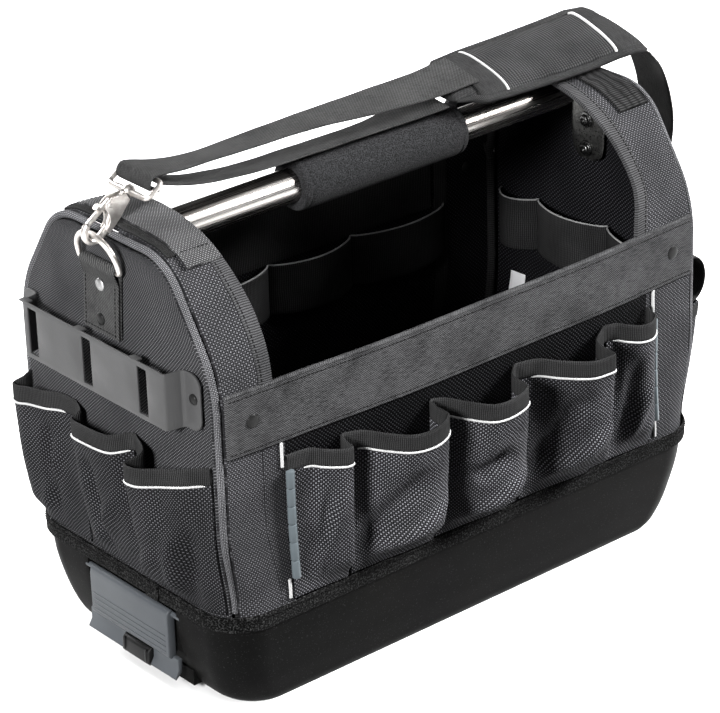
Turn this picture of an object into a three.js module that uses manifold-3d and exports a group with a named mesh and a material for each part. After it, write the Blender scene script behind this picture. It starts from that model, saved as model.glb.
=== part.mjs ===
// Tool bag: a moulded tray carries cloth walls with hooded ends, pockets outside and inside,
// a steel tube handle and a padded shoulder strap on two snap hooks.
// Millimetres. X runs along the bag, the front faces -Y, Z is up, the origin is under the tray's middle.
import * as THREE from "three";
import { mergeVertices } from "three/addons/utils/BufferGeometryUtils.js";
import Module from "manifold-3d";

const wasm = await Module();
wasm.setup();
const { lerp, smoothstep, degToRad } = THREE.MathUtils;

// Driving dimensions
const GAP = 0.3; // clearance between pieces that touch on the real bag
const CLOTH = 2.4; // laminated wall cloth
const POCKET_CLOTH = 1.6;
const WEBBING = 1.7;
const TRAY = { height: 70, wall: 3, floor: 4, halfLength: 221, halfWidth: 116.5, corner: 32 };
const ARCH = { x: 221, sideY: 110.5, shoulderZ: 261, shoulderR: 90, topY: 62, topZ: 336, topR: 45 };
const PANEL_TOP_Z = 249; // top edge of the front and back walls
const BAND_LOW_Z = 204;
const FRONT_BOW = 7.5; // how far the middle of the front stands out past its corners
const END_BULGE = 7; // how far the middle of an end stands out past its edge
const TUCK = { from: 84, to: 150 }; // the walls leave the tray's outline between these heights
const PIPING_R = 2.6;
const HOOD = {
  freeX: { left: 176, right: 166 }, // distance of each free edge from the bag's middle
  flare: { left: 0, right: 8 }, // how much nearer the middle it lies at the band
  flareToZ: 285,
  crownZ: 245, // above this the free edge is an ellipse
  crownRise: 96.5,
  binding: 10,
};
const TUBE = { z: 322, r: 12.25 };
const BRACKET = { x: 218.9, halfWidth: 17, halfThickness: 1.5 }; // the tube's flattened ends
const GRIP = { from: -65, to: 85, r: 19.5 };
const TAB = { halfWidth: 19.6, lowZ: 264, foldZ: 313, thickness: 4.4, loopR: 4.2, holeR: 2.5 };
const RING_WIRE = 2.1;
const LATCH = {
  halfWidth: 45,
  recess: 51.4,
  lip: 51,
  pinX: 219,
  pinZ: 60.5,
  pinR: 2,
  triggerFrom: -9,
  triggerTo: 22,
};

// The tray's outer rows from the floor up
const TRAY_ROWS = [
  { z: 0, halfLength: 200, halfWidth: 101, corner: 30 },
  { z: 4, halfLength: 204.5, halfWidth: 103.5, corner: 31 },
  { z: 10, halfLength: 208.5, halfWidth: 105, corner: 31 },
  { z: 20, halfLength: 212.5, halfWidth: 107.5, corner: 31 },
  { z: 35, halfLength: 217, halfWidth: 110.5, corner: 32 },
  { z: 52, halfLength: 220, halfWidth: 113.8, corner: 32 },
  { z: TRAY.height, halfLength: TRAY.halfLength, halfWidth: TRAY.halfWidth, corner: TRAY.corner },
];

// Bellows pockets: the stretch of wall each one covers, then along its mouth from the start the flat lead,
// the crest and the fold, with how far the cloth stands off there
const POCKET_LOW_Z = 84;
const HEM = { height: 11.5, thickness: 2.2, sag: 3 };
const FRONT_MOUTH_Z = 192;
const FRONT_POCKETS = [
  { start: -170, end: -120, lead: 20, crest: 36, fold: 46.5, depth: 13, foldDepth: 14 },
  { start: -120, end: -43, lead: 12, crest: 37, fold: 74, depth: 29, foldDepth: 20 },
  { start: -43, end: 36, lead: 8, crest: 30, fold: 66, depth: 32, foldDepth: 26 },
  { start: 36, end: 123, lead: 16, crest: 45, fold: 66, depth: 31, foldDepth: 32 },
  { start: 123, end: 170, lead: 9, crest: 24, fold: 44, depth: 14, foldDepth: 9 },
];
const LEFT_MOUTH_Z = 197;
const LEFT_POCKETS = [
  { start: 41, end: 104, lead: 16, crest: 44, fold: 59, depth: 13, foldDepth: 16 },
  { start: -28, end: 41, lead: 4, crest: 14, fold: 55, depth: 11, foldDepth: 13 },
  { start: -105, end: -28, lead: 6, crest: 28, fold: 53, depth: 20, foldDepth: 28 },
];
const RIGHT_POCKET = { start: -104, end: 104, mouthZ: 168, footDepth: 2.5, depth: 15 };
const RIGHT_LOOP = { start: -104, end: -64, lowZ: 170, highZ: 214, depth: 16 };
const BACK_LOOPS = { joints: [-159, -80, 0, 79, 170], lowZ: 163, highZ: 203, depth: 14 };
const RIGHT_LOOPS = { joints: [-88, -16, 58, 96], lowZ: 166, highZ: 207, depth: 13 };

// Shoulder strap: its middle line and sideways tilt in degrees, then the pad's sections
const STRAP_HALF_WIDTH = 19;
const STRAP_UPPER_ROWS = [
  { x: -170, y: 0, z: 368, tilt: -6 },
  { x: -141, y: 1, z: 365, tilt: -12 },
  { x: -98, y: 2, z: 364, tilt: -10 },
  { x: -54, y: 3, z: 363.5, tilt: -7 },
  { x: -9, y: 3, z: 362, tilt: 0 },
  { x: 37, y: 2, z: 360.5, tilt: 6 },
  { x: 67, y: 1, z: 358.5, tilt: 8 },
];
const STRAP_LOWER_ROWS = [
  { x: -187.5, y: 0, z: 364.9, tilt: 0 },
  { x: -172, y: 0, z: 358.5, tilt: -4 },
  { x: -152, y: 2, z: 351.5, tilt: -9 },
  { x: -118, y: 4, z: 345.5, tilt: -12 },
  { x: -85, y: 4.4, z: 343, tilt: -13 },
  { x: -50, y: 4.4, z: 342.4, tilt: -13 },
  { x: 20, y: 4.4, z: 342.4, tilt: -12 },
  { x: 45, y: 3, z: 345, tilt: -5 },
  { x: 67, y: 1, z: 350, tilt: 6 },
];
const STRAP_RIGHT_ROWS = [
  { x: 264.6, y: 0, z: 338.3, tilt: 8 },
  { x: 275, y: -1, z: 326, tilt: 10 },
  { x: 283, y: -2, z: 307, tilt: 13 },
  { x: 287, y: -3, z: 284, tilt: 14 },
  { x: 284, y: -3, z: 258, tilt: 11 },
  { x: 275, y: -2, z: 237, tilt: 7 },
  { x: 264, y: -1, z: 226, tilt: 3 },
  { x: 256, y: 0, z: 227, tilt: 0 },
];
const PAD_ROWS = [
  { x: 67.4, z: 354.3, halfWidth: 21, halfHeight: 6.2, tilt: 8 },
  { x: 84, z: 355, halfWidth: 23, halfHeight: 6.6, tilt: 10 },
  { x: 92, z: 355.2, halfWidth: 29, halfHeight: 7.2, tilt: 12 },
  { x: 115, z: 355.2, halfWidth: 30, halfHeight: 7.8, tilt: 14 },
  { x: 155, z: 355, halfWidth: 30, halfHeight: 7.8, tilt: 16 },
  { x: 195, z: 355.5, halfWidth: 30, halfHeight: 7.8, tilt: 18 },
  { x: 222, z: 357, halfWidth: 30, halfHeight: 7.4, tilt: 18 },
  { x: 239, z: 356, halfWidth: 30, halfHeight: 7, tilt: 16 },
  { x: 250, z: 352, halfWidth: 29, halfHeight: 6.4, tilt: 14 },
  { x: 258, z: 346, halfWidth: 23, halfHeight: 5.4, tilt: 11 },
  { x: 264, z: 339, halfWidth: 20, halfHeight: 4.4, tilt: 8 },
];

// Snap hooks: the middle of the ring wire that each one hangs on, and the way its shank points
const HOOKS = {
  left: { x: -233.5, z: 337.2, angle: 34 },
  right: { x: 242, z: 294, angle: -82 },
};
const HOOK = { bowX: 2.3, bowR: 7.2, wire: 2.4, gateZ: 7.2, postR: 1.9, ringNear: 38.4, ringFar: 53.5 };
const STRAP_RING = { halfWidth: 21.6, wire: 1.9 };

const CLIP = {
  x: 240,
  halfWidth: 81,
  footX: 225.6,
  footIn: 86,
  footOut: 100,
  lowZ: 222.5,
  highZ: 264,
  sheet: 1.5,
};
const CLIP_SLOTS = { pitch: 62.5, middle: 6.4, width: 10, lowZ: 226, highZ: 260.5 };

const MATERIALS = {
  tray: new THREE.MeshStandardMaterial({ color: 0x191a1b, roughness: 0.55, metalness: 0 }),
  latch: new THREE.MeshStandardMaterial({ color: 0x565b62, roughness: 0.5, metalness: 0 }),
  trigger: new THREE.MeshStandardMaterial({ color: 0x141414, roughness: 0.5, metalness: 0 }),
  cloth: new THREE.MeshStandardMaterial({ color: 0x232427, roughness: 0.85, metalness: 0 }),
  webbing: new THREE.MeshStandardMaterial({ color: 0x2b2c2e, roughness: 0.9, metalness: 0 }),
  band: new THREE.MeshStandardMaterial({ color: 0x3a3b3d, roughness: 0.9, metalness: 0 }),
  strip: new THREE.MeshStandardMaterial({ color: 0x66707a, roughness: 0.5, metalness: 0.2 }),
  clip: new THREE.MeshStandardMaterial({ color: 0x4b4c4e, roughness: 0.55, metalness: 0.4 }),
  chrome: new THREE.MeshStandardMaterial({ color: 0xd8d9db, roughness: 0.15, metalness: 1 }),
  steel: new THREE.MeshStandardMaterial({ color: 0x3a3a3a, roughness: 0.4, metalness: 1 }),
  grip: new THREE.MeshStandardMaterial({ color: 0x1b1b1c, roughness: 0.95, metalness: 0 }),
};

const bag = new THREE.Group();

function add(name, geometry, material, parent = bag) {
  const mesh = new THREE.Mesh(geometry, material);
  mesh.name = name;
  parent.add(mesh);
  return mesh;
}

// A piece made for the right-hand end and one turned round to the left
function addBothEnds(stem, makeGeometry, material) {
  add(`${stem}_right`, makeGeometry("right"), material);
  add(`${stem}_left`, makeGeometry("left"), material).rotation.z = Math.PI;
}

const vec = (x, y, z) => new THREE.Vector3(x, y, z);
const AXIS_Y = vec(0, 1, 0);

// A closed solid from points and triangles, with its faces turned outwards
function solid(points, triangles) {
  const volume = triangles.reduce((sum, [i, j, k]) => {
    return sum + points[i].dot(points[j].clone().cross(points[k]));
  }, 0);
  const turned = volume < 0 ? triangles.map(([i, j, k]) => [i, k, j]) : triangles;
  const geometry = new THREE.BufferGeometry().setFromPoints(points);
  geometry.setIndex(turned.flat());
  geometry.computeVertexNormals();
  return geometry;
}

function pushQuad(triangles, a, b, c, d) {
  triangles.push([a, b, c], [a, c, d]);
}

// A wall of cloth: a grid of points thickened by outer and inner along its normals
function shell(grid, outer, inner, outside) {
  const rows = grid.length;
  const cols = grid[0].length;
  const normals = grid.map((row, r) =>
    row.map((_, c) => {
      const along = grid[r][Math.min(c + 1, cols - 1)].clone().sub(grid[r][Math.max(c - 1, 0)]);
      const up = grid[Math.min(r + 1, rows - 1)][c].clone().sub(grid[Math.max(r - 1, 0)][c]);
      return along.cross(up).normalize();
    }),
  );
  const facing = normals.flat().reduce((sum, n) => sum + Math.sign(n.dot(outside)), 0);
  const sign = facing < 0 ? -1 : 1;
  const offset = (distance) =>
    grid.flatMap((row, r) => row.map((p, c) => p.clone().addScaledVector(normals[r][c], sign * distance)));
  const points = [...offset(outer), ...offset(-inner)];
  const front = (r, c) => r * cols + c;
  const back = (r, c) => rows * cols + front(r, c);
  const triangles = [];
  for (let r = 0; r < rows - 1; r++) {
    for (let c = 0; c < cols - 1; c++) {
      pushQuad(triangles, front(r, c), front(r, c + 1), front(r + 1, c + 1), front(r + 1, c));
      pushQuad(triangles, back(r, c), back(r + 1, c), back(r + 1, c + 1), back(r, c + 1));
    }
    pushQuad(triangles, front(r + 1, cols - 1), front(r, cols - 1), back(r, cols - 1), back(r + 1, cols - 1));
    pushQuad(triangles, front(r, 0), front(r + 1, 0), back(r + 1, 0), back(r, 0));
  }
  for (let c = 0; c < cols - 1; c++) {
    pushQuad(triangles, front(0, c + 1), front(0, c), back(0, c), back(0, c + 1));
    pushQuad(triangles, front(rows - 1, c), front(rows - 1, c + 1), back(rows - 1, c + 1), back(rows - 1, c));
  }
  return solid(points, triangles);
}

// A solid through rings of equal size, capped at both ends or joined round into a loop
function loft(rings, closed = false) {
  const count = rings.length;
  const size = rings[0].length;
  const triangles = [];
  const at = (ring, i) => (ring % count) * size + (i % size);
  for (let ring = 0; ring < (closed ? count : count - 1); ring++) {
    for (let i = 0; i < size; i++) {
      pushQuad(triangles, at(ring, i), at(ring, i + 1), at(ring + 1, i + 1), at(ring + 1, i));
    }
  }
  if (!closed) {
    for (let i = 1; i < size - 1; i++) {
      triangles.push([at(0, 0), at(0, i + 1), at(0, i)]);
      triangles.push([at(count - 1, 0), at(count - 1, i), at(count - 1, i + 1)]);
    }
  }
  return solid(rings.flat(), triangles);
}

function tangentAt(path, i, closed) {
  const n = path.length;
  const before = closed ? path[(i + n - 1) % n] : path[Math.max(i - 1, 0)];
  const after = closed ? path[(i + 1) % n] : path[Math.min(i + 1, n - 1)];
  return after.clone().sub(before).normalize();
}

// One profile of [across, through] pairs carried along a path; across(i) is the first number's direction
function sweep(path, profile, across, closed = false) {
  const rings = path.map((point, i) => {
    const side = across(i);
    const through = tangentAt(path, i, closed).cross(side).normalize();
    const section = typeof profile === "function" ? profile(i) : profile;
    return section.map(([u, v]) => point.clone().addScaledVector(side, u).addScaledVector(through, v));
  });
  return loft(rings, closed);
}

function ellipseProfile(halfAcross, halfThrough, sides) {
  return Array.from({ length: sides }, (_, i) => {
    const angle = (2 * Math.PI * i) / sides;
    return [halfAcross * Math.cos(angle), halfThrough * Math.sin(angle)];
  });
}

function barProfile(halfAcross, halfThrough) {
  return [
    [-halfAcross, -halfThrough],
    [halfAcross, -halfThrough],
    [halfAcross, halfThrough],
    [-halfAcross, halfThrough],
  ];
}

// Webbing along rows of x, y, z and tilt
function ribbon(rows) {
  const path = rows.map((row) => vec(row.x, row.y, row.z));
  const across = (i) => vec(0, Math.cos(degToRad(rows[i].tilt)), Math.sin(degToRad(rows[i].tilt)));
  return sweep(path, barProfile(STRAP_HALF_WIDTH, WEBBING / 2), across);
}

function manifoldOf(geometry) {
  const bare = geometry.clone();
  bare.deleteAttribute("normal");
  bare.deleteAttribute("uv");
  const merged = mergeVertices(bare, 1e-4);
  const vertProperties = new Float32Array(merged.attributes.position.array);
  const triVerts = new Uint32Array(merged.index.array);
  return new wasm.Manifold(new wasm.Mesh({ numProp: 3, vertProperties, triVerts }));
}

function geometryOf(manifold) {
  const { vertProperties, triVerts } = manifold.getMesh();
  const geometry = new THREE.BufferGeometry();
  geometry.setAttribute("position", new THREE.BufferAttribute(vertProperties, 3));
  geometry.setIndex(new THREE.BufferAttribute(triVerts, 1));
  geometry.computeVertexNormals();
  return geometry;
}

const join = (...pieces) => geometryOf(pieces.map(manifoldOf).reduce((a, b) => a.add(b)));
const cut = (piece, ...tools) =>
  geometryOf(tools.map(manifoldOf).reduce((a, b) => a.subtract(b), manifoldOf(piece)));
const overlapOf = (a, b) => geometryOf(manifoldOf(a).intersect(manifoldOf(b)));

function block(x0, x1, y0, y1, z0, z1) {
  const box = new THREE.BoxGeometry(x1 - x0, y1 - y0, z1 - z0);
  return box.translate((x0 + x1) / 2, (y0 + y1) / 2, (z0 + z1) / 2);
}

// A block on each side of the middle plane, between two distances from it
function blockPair(x0, x1, near, far, z0, z1) {
  return [block(x0, x1, -far, -near, z0, z1), block(x0, x1, near, far, z0, z1)];
}

// A cylinder along X
function rod(radius, x0, x1, sides) {
  const cylinder = new THREE.CylinderGeometry(radius, radius, x1 - x0, sides);
  return cylinder.rotateZ(Math.PI / 2).translate((x0 + x1) / 2, 0, 0);
}

// A cylinder along Y
function pin(x, z, radius, y0, y1) {
  return new THREE.CylinderGeometry(radius, radius, y1 - y0, 12).translate(x, (y0 + y1) / 2, z);
}

// An outline in X and Z pushed out along Y, centred on the bag's middle plane
function extrudeAcross(shape, width) {
  const geometry = new THREE.ExtrudeGeometry(shape, { depth: width, bevelEnabled: false, curveSegments: 5 });
  return geometry.rotateX(Math.PI / 2).translate(0, width / 2, 0);
}

function shapeOf(points) {
  return new THREE.Shape(points.map(([x, y]) => new THREE.Vector2(x, y)));
}

// Tray

function trayRing({ z, halfLength, halfWidth, corner }, inset = 0) {
  const steps = 5;
  const radius = corner - inset;
  const ring = [];
  for (let quarter = 0; quarter < 4; quarter++) {
    const sx = quarter === 0 || quarter === 3 ? 1 : -1;
    const sy = quarter < 2 ? 1 : -1;
    for (let i = 0; i <= steps; i++) {
      const angle = (Math.PI / 2) * (quarter + i / steps);
      const x = sx * (halfLength - corner) + radius * Math.cos(angle);
      const y = sy * (halfWidth - corner) + radius * Math.sin(angle);
      ring.push(vec(x, y, z));
    }
  }
  return ring;
}

function baseTray() {
  const outer = TRAY_ROWS.map((row) => trayRing(row));
  const inner = TRAY_ROWS.filter((row) => row.z >= TRAY.floor).map((row) => trayRing(row, TRAY.wall));
  const shellOfTray = loft([...outer, ...inner.reverse()]);
  const full = loft(outer);
  const recessBack = 216;
  const recessLowZ = 16;
  const recessHighZ = 66.5;
  const wide = LATCH.recess + 6;
  let tray = shellOfTray;
  for (const side of [-1, 1]) {
    const span = (near, far) => (side > 0 ? [near, far] : [-far, -near]);
    const boss = block(...span(recessBack - 8, TRAY.halfLength), -wide, wide, recessLowZ, TRAY.height);
    const recess = block(
      ...span(recessBack, TRAY.halfLength + 9),
      -LATCH.recess,
      LATCH.recess,
      recessLowZ - 1,
      recessHighZ,
    );
    const boreEnd = LATCH.recess + 3.2;
    const bore = pin(side * LATCH.pinX, LATCH.pinZ, LATCH.pinR + 0.35, -boreEnd, boreEnd);
    const [footFrom, footTo] = side > 0 ? [40, 57] : [-57, -40];
    const foot = block(...span(198, 213), footFrom, footTo, 6, 18);
    tray = cut(join(tray, overlapOf(boss, full), cut(foot, full)), recess, bore);
  }
  return tray;
}

// Latches in the tray's ends

function latchPlate() {
  const face = shapeOf([
    [219.4, 64.3],
    [221.8, 64.2],
    [223.8, 62.2],
    [224.5, 58.5],
    [224.5, 28],
    [222.5, 25.5],
    [217.4, 25.5],
    [217.4, 60.5],
  ]);
  const flange = shapeOf([
    [217.4, 27],
    [221.2, 27],
    [221.4, 18],
    [224.6, 12.6],
    [223.4, 11.2],
    [218.6, 16],
    [217.4, 21],
  ]);
  const axleEnd = LATCH.recess + 2.8;
  const axle = pin(LATCH.pinX, LATCH.pinZ, LATCH.pinR, -axleEnd, axleEnd);
  const notch = block(216, 230, LATCH.triggerFrom - 0.4, LATCH.triggerTo + 0.4, 5, 25);
  const plate = join(extrudeAcross(face, 2 * LATCH.halfWidth), extrudeAcross(flange, 2 * LATCH.lip), axle);
  return cut(plate, notch);
}

function latchTrigger() {
  const profile = shapeOf([
    [217.6, 24.6],
    [222.4, 24.6],
    [225.2, 22],
    [225.8, 12.6],
    [224.2, 10.6],
    [219.4, 10.6],
    [217.6, 13],
  ]);
  const middle = (LATCH.triggerFrom + LATCH.triggerTo) / 2;
  return extrudeAcross(profile, LATCH.triggerTo - LATCH.triggerFrom).translate(0, middle, 0);
}

// Wall surfaces

const tuck = (z) => 1 - smoothstep(z, TUCK.from, TUCK.to);
const cornerSide = TRAY.halfWidth - TRAY.corner + TRAY.corner * Math.SQRT1_2;
const cornerEnd = TRAY.halfLength - TRAY.corner + TRAY.corner * Math.SQRT1_2;
const edgeInset = (z) => lerp(2 * PIPING_R + 2 * GAP, PIPING_R, tuck(z));

// How far out the tray's rounded rectangle lies at a place along one of its sides
function trayReach(place, along, out) {
  const past = Math.abs(place) - (along - TRAY.corner);
  return past <= 0 ? out : out - TRAY.corner + Math.sqrt(Math.max(TRAY.corner ** 2 - past ** 2, 0));
}

// Centres of the arch's two rounded corners
const lean = vec(ARCH.topY - ARCH.sideY, 0, ARCH.topZ - ARCH.shoulderZ).normalize();
const shoulderTurn = Math.acos(lean.z);
const topTurn = Math.PI / 2 - shoulderTurn;
const shoulderCentre = {
  y: ARCH.sideY - ARCH.shoulderR,
  z: ARCH.shoulderZ - ARCH.shoulderR * Math.tan(shoulderTurn / 2),
};
const topCentre = { y: ARCH.topY - ARCH.topR * Math.tan(topTurn / 2), z: ARCH.topZ - ARCH.topR };

// Half the arch's width at a height, for an outline drawn in by inset
function archHalfWidth(z, inset) {
  const shoulderR = ARCH.shoulderR - inset;
  const topR = ARCH.topR - inset;
  const leanFrom = shoulderCentre.z + shoulderR * Math.sin(shoulderTurn);
  const leanTo = topCentre.z + topR * Math.sin(shoulderTurn);
  if (z <= shoulderCentre.z) {
    return ARCH.sideY - inset;
  }
  if (z <= leanFrom) {
    return shoulderCentre.y + Math.sqrt(shoulderR ** 2 - (z - shoulderCentre.z) ** 2);
  }
  if (z >= leanTo) {
    return topCentre.y + Math.sqrt(Math.max(topR ** 2 - (z - topCentre.z) ** 2, 0));
  }
  const leanFromY = shoulderCentre.y + shoulderR * Math.cos(shoulderTurn);
  const leanToY = topCentre.y + topR * Math.cos(shoulderTurn);
  return lerp(leanFromY, leanToY, (z - leanFrom) / (leanTo - leanFrom));
}

function endBulge(t, z) {
  const height = Math.max((z - TRAY.height) / (ARCH.topZ - TRAY.height), 0);
  return END_BULGE * (1 - t * t) * Math.sin(Math.PI * Math.min(height, 1)) ** 0.8;
}

// Outer face of the right-hand end at t from -1 to 1 across it
function endPoint(t, z) {
  const k = tuck(z);
  const inset = edgeInset(z);
  const bagY = t * archHalfWidth(z, inset);
  const trayY = t * (cornerSide - inset);
  const trayX = trayReach(trayY, TRAY.halfWidth, TRAY.halfLength);
  return vec(lerp(ARCH.x + endBulge(t, z), trayX, k), lerp(bagY, trayY, k), z);
}

function endReach(y, z) {
  const inset = edgeInset(z);
  const half = lerp(archHalfWidth(z, inset), cornerSide - inset, tuck(z));
  return endPoint(THREE.MathUtils.clamp(y / half, -1, 1), z).x;
}

// How far the front or back wall lies from the middle plane
function wallReach(x, z) {
  const k = tuck(z);
  const s = x / lerp(ARCH.x, cornerEnd, k);
  const trayY = trayReach(s * cornerEnd, TRAY.halfLength, TRAY.halfWidth);
  return lerp(ARCH.sideY + FRONT_BOW * (1 - s * s), trayY, k);
}

const wallBaseZ = TRAY.height + GAP;
const bendHeights = [wallBaseZ, TUCK.from, 106, 128, TUCK.to]; // where the lower walls bend

function endPanel() {
  const topZ = ARCH.topZ - edgeInset(ARCH.topZ);
  const heights = [...bendHeights, 200, PANEL_TOP_Z, 275, 298, 316, 326, topZ];
  const columns = [-1, -0.93, -0.8, -0.5, 0, 0.5, 0.8, 0.93, 1];
  const grid = heights.map((z) => columns.map((t) => endPoint(t, z)));
  return shell(grid, 0, CLOTH, vec(1, 0, 0));
}

// Stations up the front of the arch, over its top and down the back
function archStations(lowZ) {
  const climb = [...bendHeights, 200, shoulderCentre.z].filter((z) => z > lowZ);
  const front = [lowZ, ...climb].map((z) => ({ y: -archHalfWidth(z, 0), z }));
  const arc = (centre, radius, from, turn, steps) =>
    Array.from({ length: steps }, (_, i) => {
      const angle = from + (turn * (i + 1)) / steps;
      return { y: -(centre.y + radius * Math.cos(angle)), z: centre.z + radius * Math.sin(angle) };
    });
  const shoulder = arc(shoulderCentre, ARCH.shoulderR, 0, shoulderTurn, 4);
  front.push(...shoulder.filter(({ z }) => z > lowZ));
  front.push(...arc(topCentre, ARCH.topR, shoulderTurn, 0, 1));
  front.push(...arc(topCentre, ARCH.topR, shoulderTurn, topTurn, 5));
  const back = front.map(({ y, z }) => ({ y: -y, z })).reverse();
  return [...front, { y: 0, z: ARCH.topZ }, ...back];
}

// Outer face of a hood at a station, x being the distance from the bag's middle: the hood follows the arch
// at the piping and swells to an ellipse at its free edge
function hoodPoint(end, { y, z }, x) {
  const s = x / ARCH.x;
  const atFreeEdge = 1 - (HOOD.freeX[end] / ARCH.x) ** 2;
  if (z > HOOD.crownZ) {
    const rise = z - HOOD.crownZ;
    const halfWidth = ARCH.sideY + FRONT_BOW * atFreeEdge;
    const toEllipse = 1 / Math.hypot(y / halfWidth, rise / HOOD.crownRise);
    const grow = lerp(1, toEllipse, (1 - s * s) / atFreeEdge);
    return vec(x, y * grow, HOOD.crownZ + rise * grow);
  }
  const k = tuck(z);
  const bagY = Math.abs(y) + FRONT_BOW * (1 - s * s);
  const trayY = trayReach(s * cornerEnd, TRAY.halfLength, TRAY.halfWidth);
  return vec(lerp(x, s * cornerEnd, k), Math.sign(y) * lerp(bagY, trayY, k), z);
}

const freeEdgeX = (end, z) =>
  HOOD.freeX[end] - HOOD.flare[end] * (1 - smoothstep(z, PANEL_TOP_Z, HOOD.flareToZ));

const upOut = vec(0, 0, 1);

function hood(end) {
  const grid = archStations(wallBaseZ).map((station) => {
    const outer = ARCH.x - edgeInset(station.z);
    const inner = freeEdgeX(end, station.z) + HOOD.binding + GAP;
    return [0, 0.35, 0.7, 1].map((f) => hoodPoint(end, station, lerp(outer, inner, f)));
  });
  return shell(grid, 0, CLOTH, upOut);
}

function hoodBinding(end) {
  const grid = archStations(PANEL_TOP_Z + GAP).map((station) => {
    const inner = freeEdgeX(end, station.z);
    return [inner + HOOD.binding, inner].map((x) => hoodPoint(end, station, x));
  });
  return shell(grid, 0.5, CLOTH + 0.4, upOut);
}

function endPiping() {
  const stations = archStations(POCKET_LOW_Z);
  const path = stations.map(({ y, z }) => {
    const k = tuck(z);
    const inset = lerp(PIPING_R + 0.1, (PIPING_R + 0.1) * Math.SQRT1_2, k);
    const half = lerp(Math.abs(y), cornerSide, k) - (z > shoulderCentre.z ? 0 : inset);
    return vec(lerp(ARCH.x, cornerEnd, k) - inset, Math.sign(y) * half, z);
  });
  const drawnIn = path.map((point, i) => {
    if (point.z <= shoulderCentre.z) {
      return point;
    }
    const tangent = tangentAt(path, i, false);
    const inward = vec(0, tangent.z, -tangent.y).normalize();
    return point.clone().addScaledVector(inward, PIPING_R + 0.1);
  });
  return sweep(drawnIn, ellipseProfile(PIPING_R, PIPING_R, 6), () => vec(1, 0, 0));
}

// Webbing flap across the top of a hood, between two distances from the bag's middle
function hoodFlap(end, innerX, outerX, clear) {
  const flapHalfY = 69;
  const onTop = ({ y, z }) => Math.abs(y) <= flapHalfY && z > ARCH.shoulderZ;
  const across = archStations(PANEL_TOP_Z).filter(onTop);
  const columns = [outerX, (outerX + innerX) / 2, innerX];
  const grid = across.map((station) => columns.map((x) => hoodPoint(end, station, x)));
  return shell(grid, clear + WEBBING, -clear, upOut);
}

// Front and back walls

function wallGrid(fromX, toX, steps, heights) {
  return heights.map((z) =>
    Array.from({ length: steps + 1 }, (_, i) => {
      const along = lerp(fromX, toX, i / steps);
      const x = lerp(along, (along / ARCH.x) * cornerEnd, tuck(z));
      return vec(x, -wallReach(x, z), z);
    }),
  );
}

const frontOut = vec(0, -1, 0);
const backOut = vec(0, 1, 0);
const toBack = (grid) => grid.map((row) => row.map(({ x, y, z }) => vec(x, -y, z)));
const panelFromX = -freeEdgeX("left", PANEL_TOP_Z) - HOOD.binding;
const panelToX = freeEdgeX("right", PANEL_TOP_Z) + HOOD.binding;
const panelGrid = () => wallGrid(panelFromX, panelToX, 12, [...bendHeights, PANEL_TOP_Z]);

function bandGrid() {
  const half = ARCH.x - edgeInset(PANEL_TOP_Z) - 2 * GAP;
  return wallGrid(-half, half, 14, [BAND_LOW_Z, PANEL_TOP_Z]);
}

function innerBand() {
  const fromX = panelFromX + HOOD.binding;
  const toX = panelToX - HOOD.binding;
  const grid = toBack(wallGrid(fromX, toX, 12, [BAND_LOW_Z, PANEL_TOP_Z]));
  return shell(grid, -CLOTH - GAP, CLOTH + GAP + WEBBING, backOut);
}

function bottomBinding() {
  const lowZ = TRAY.height + GAP;
  const highZ = POCKET_LOW_Z - 1.5;
  const row = { halfLength: TRAY.halfLength + 1.5, halfWidth: TRAY.halfWidth, corner: TRAY.corner };
  const ringAt = (z, out) => trayRing({ ...row, z }, -out);
  const loops = [ringAt(lowZ, 0.6), ringAt(lowZ, 2.4), ringAt(highZ, 2.4), ringAt(highZ, 0.6)];
  const rings = loops[0].map((_, i) => loops.map((loop) => loop[i]));
  return loft(rings, true);
}

// Bellows pockets

const JOINT_GAP = 1.3;
const STAND_OFF = POCKET_CLOTH + 0.4;

// The mouth of a pocket as [along, off the wall] pairs from its start to its end
function mouthCurve({ start, end, lead, crest, fold, depth, foldDepth }) {
  const width = end - start;
  const points = [
    [JOINT_GAP, 0],
    [lead, 0.14 * depth],
    [lerp(lead, crest, 0.4), 0.55 * depth],
    [crest, depth],
    [lerp(crest, fold, 0.55), Math.max(depth, foldDepth) + 1],
    [fold, foldDepth],
    [lerp(fold, width - JOINT_GAP, 0.55), 0.42 * foldDepth],
    [width - JOINT_GAP, 0],
  ];
  return points.map(([along, off]) => ({ along: start + along, off }));
}

// A pocket's cloth below its hem; place turns a distance along the wall, a height and a stand-off to a point
function pocketGrid(pocket, mouthZ, place) {
  const mouth = mouthCurve(pocket);
  const hemZ = mouthZ - HEM.height - 3 * GAP;
  const deepest = Math.max(pocket.depth, pocket.foldDepth);
  return [0, 0.25, 0.5, 0.75, 1].map((v) =>
    mouth.map(({ along, off }) => {
      const z = lerp(POCKET_LOW_Z, hemZ - (HEM.sag * off) / deepest, v);
      return place(along, z, STAND_OFF + off * v ** 0.85);
    }),
  );
}

function hemGrid(pockets, mouthZ, place) {
  const curve = pockets.flatMap((pocket) => {
    const deepest = Math.max(pocket.depth, pocket.foldDepth);
    return mouthCurve(pocket).map(({ along, off }) => ({ along, off, drop: (HEM.sag * off) / deepest }));
  });
  return [-HEM.height, 0].map((dz) =>
    curve.map(({ along, off, drop }) => place(along, mouthZ + dz - drop, STAND_OFF + 0.6 + off)),
  );
}

const onFront = (x, z, off) => vec(x, -wallReach(x, z) - off, z);
const onLeftEnd = (y, z, off) => vec(-endReach(y, z) - off, y, z);
const onRightEnd = (y, z, off) => vec(endReach(y, z) + off, y, z);
const leftOut = vec(-1, 0, 0);

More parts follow.
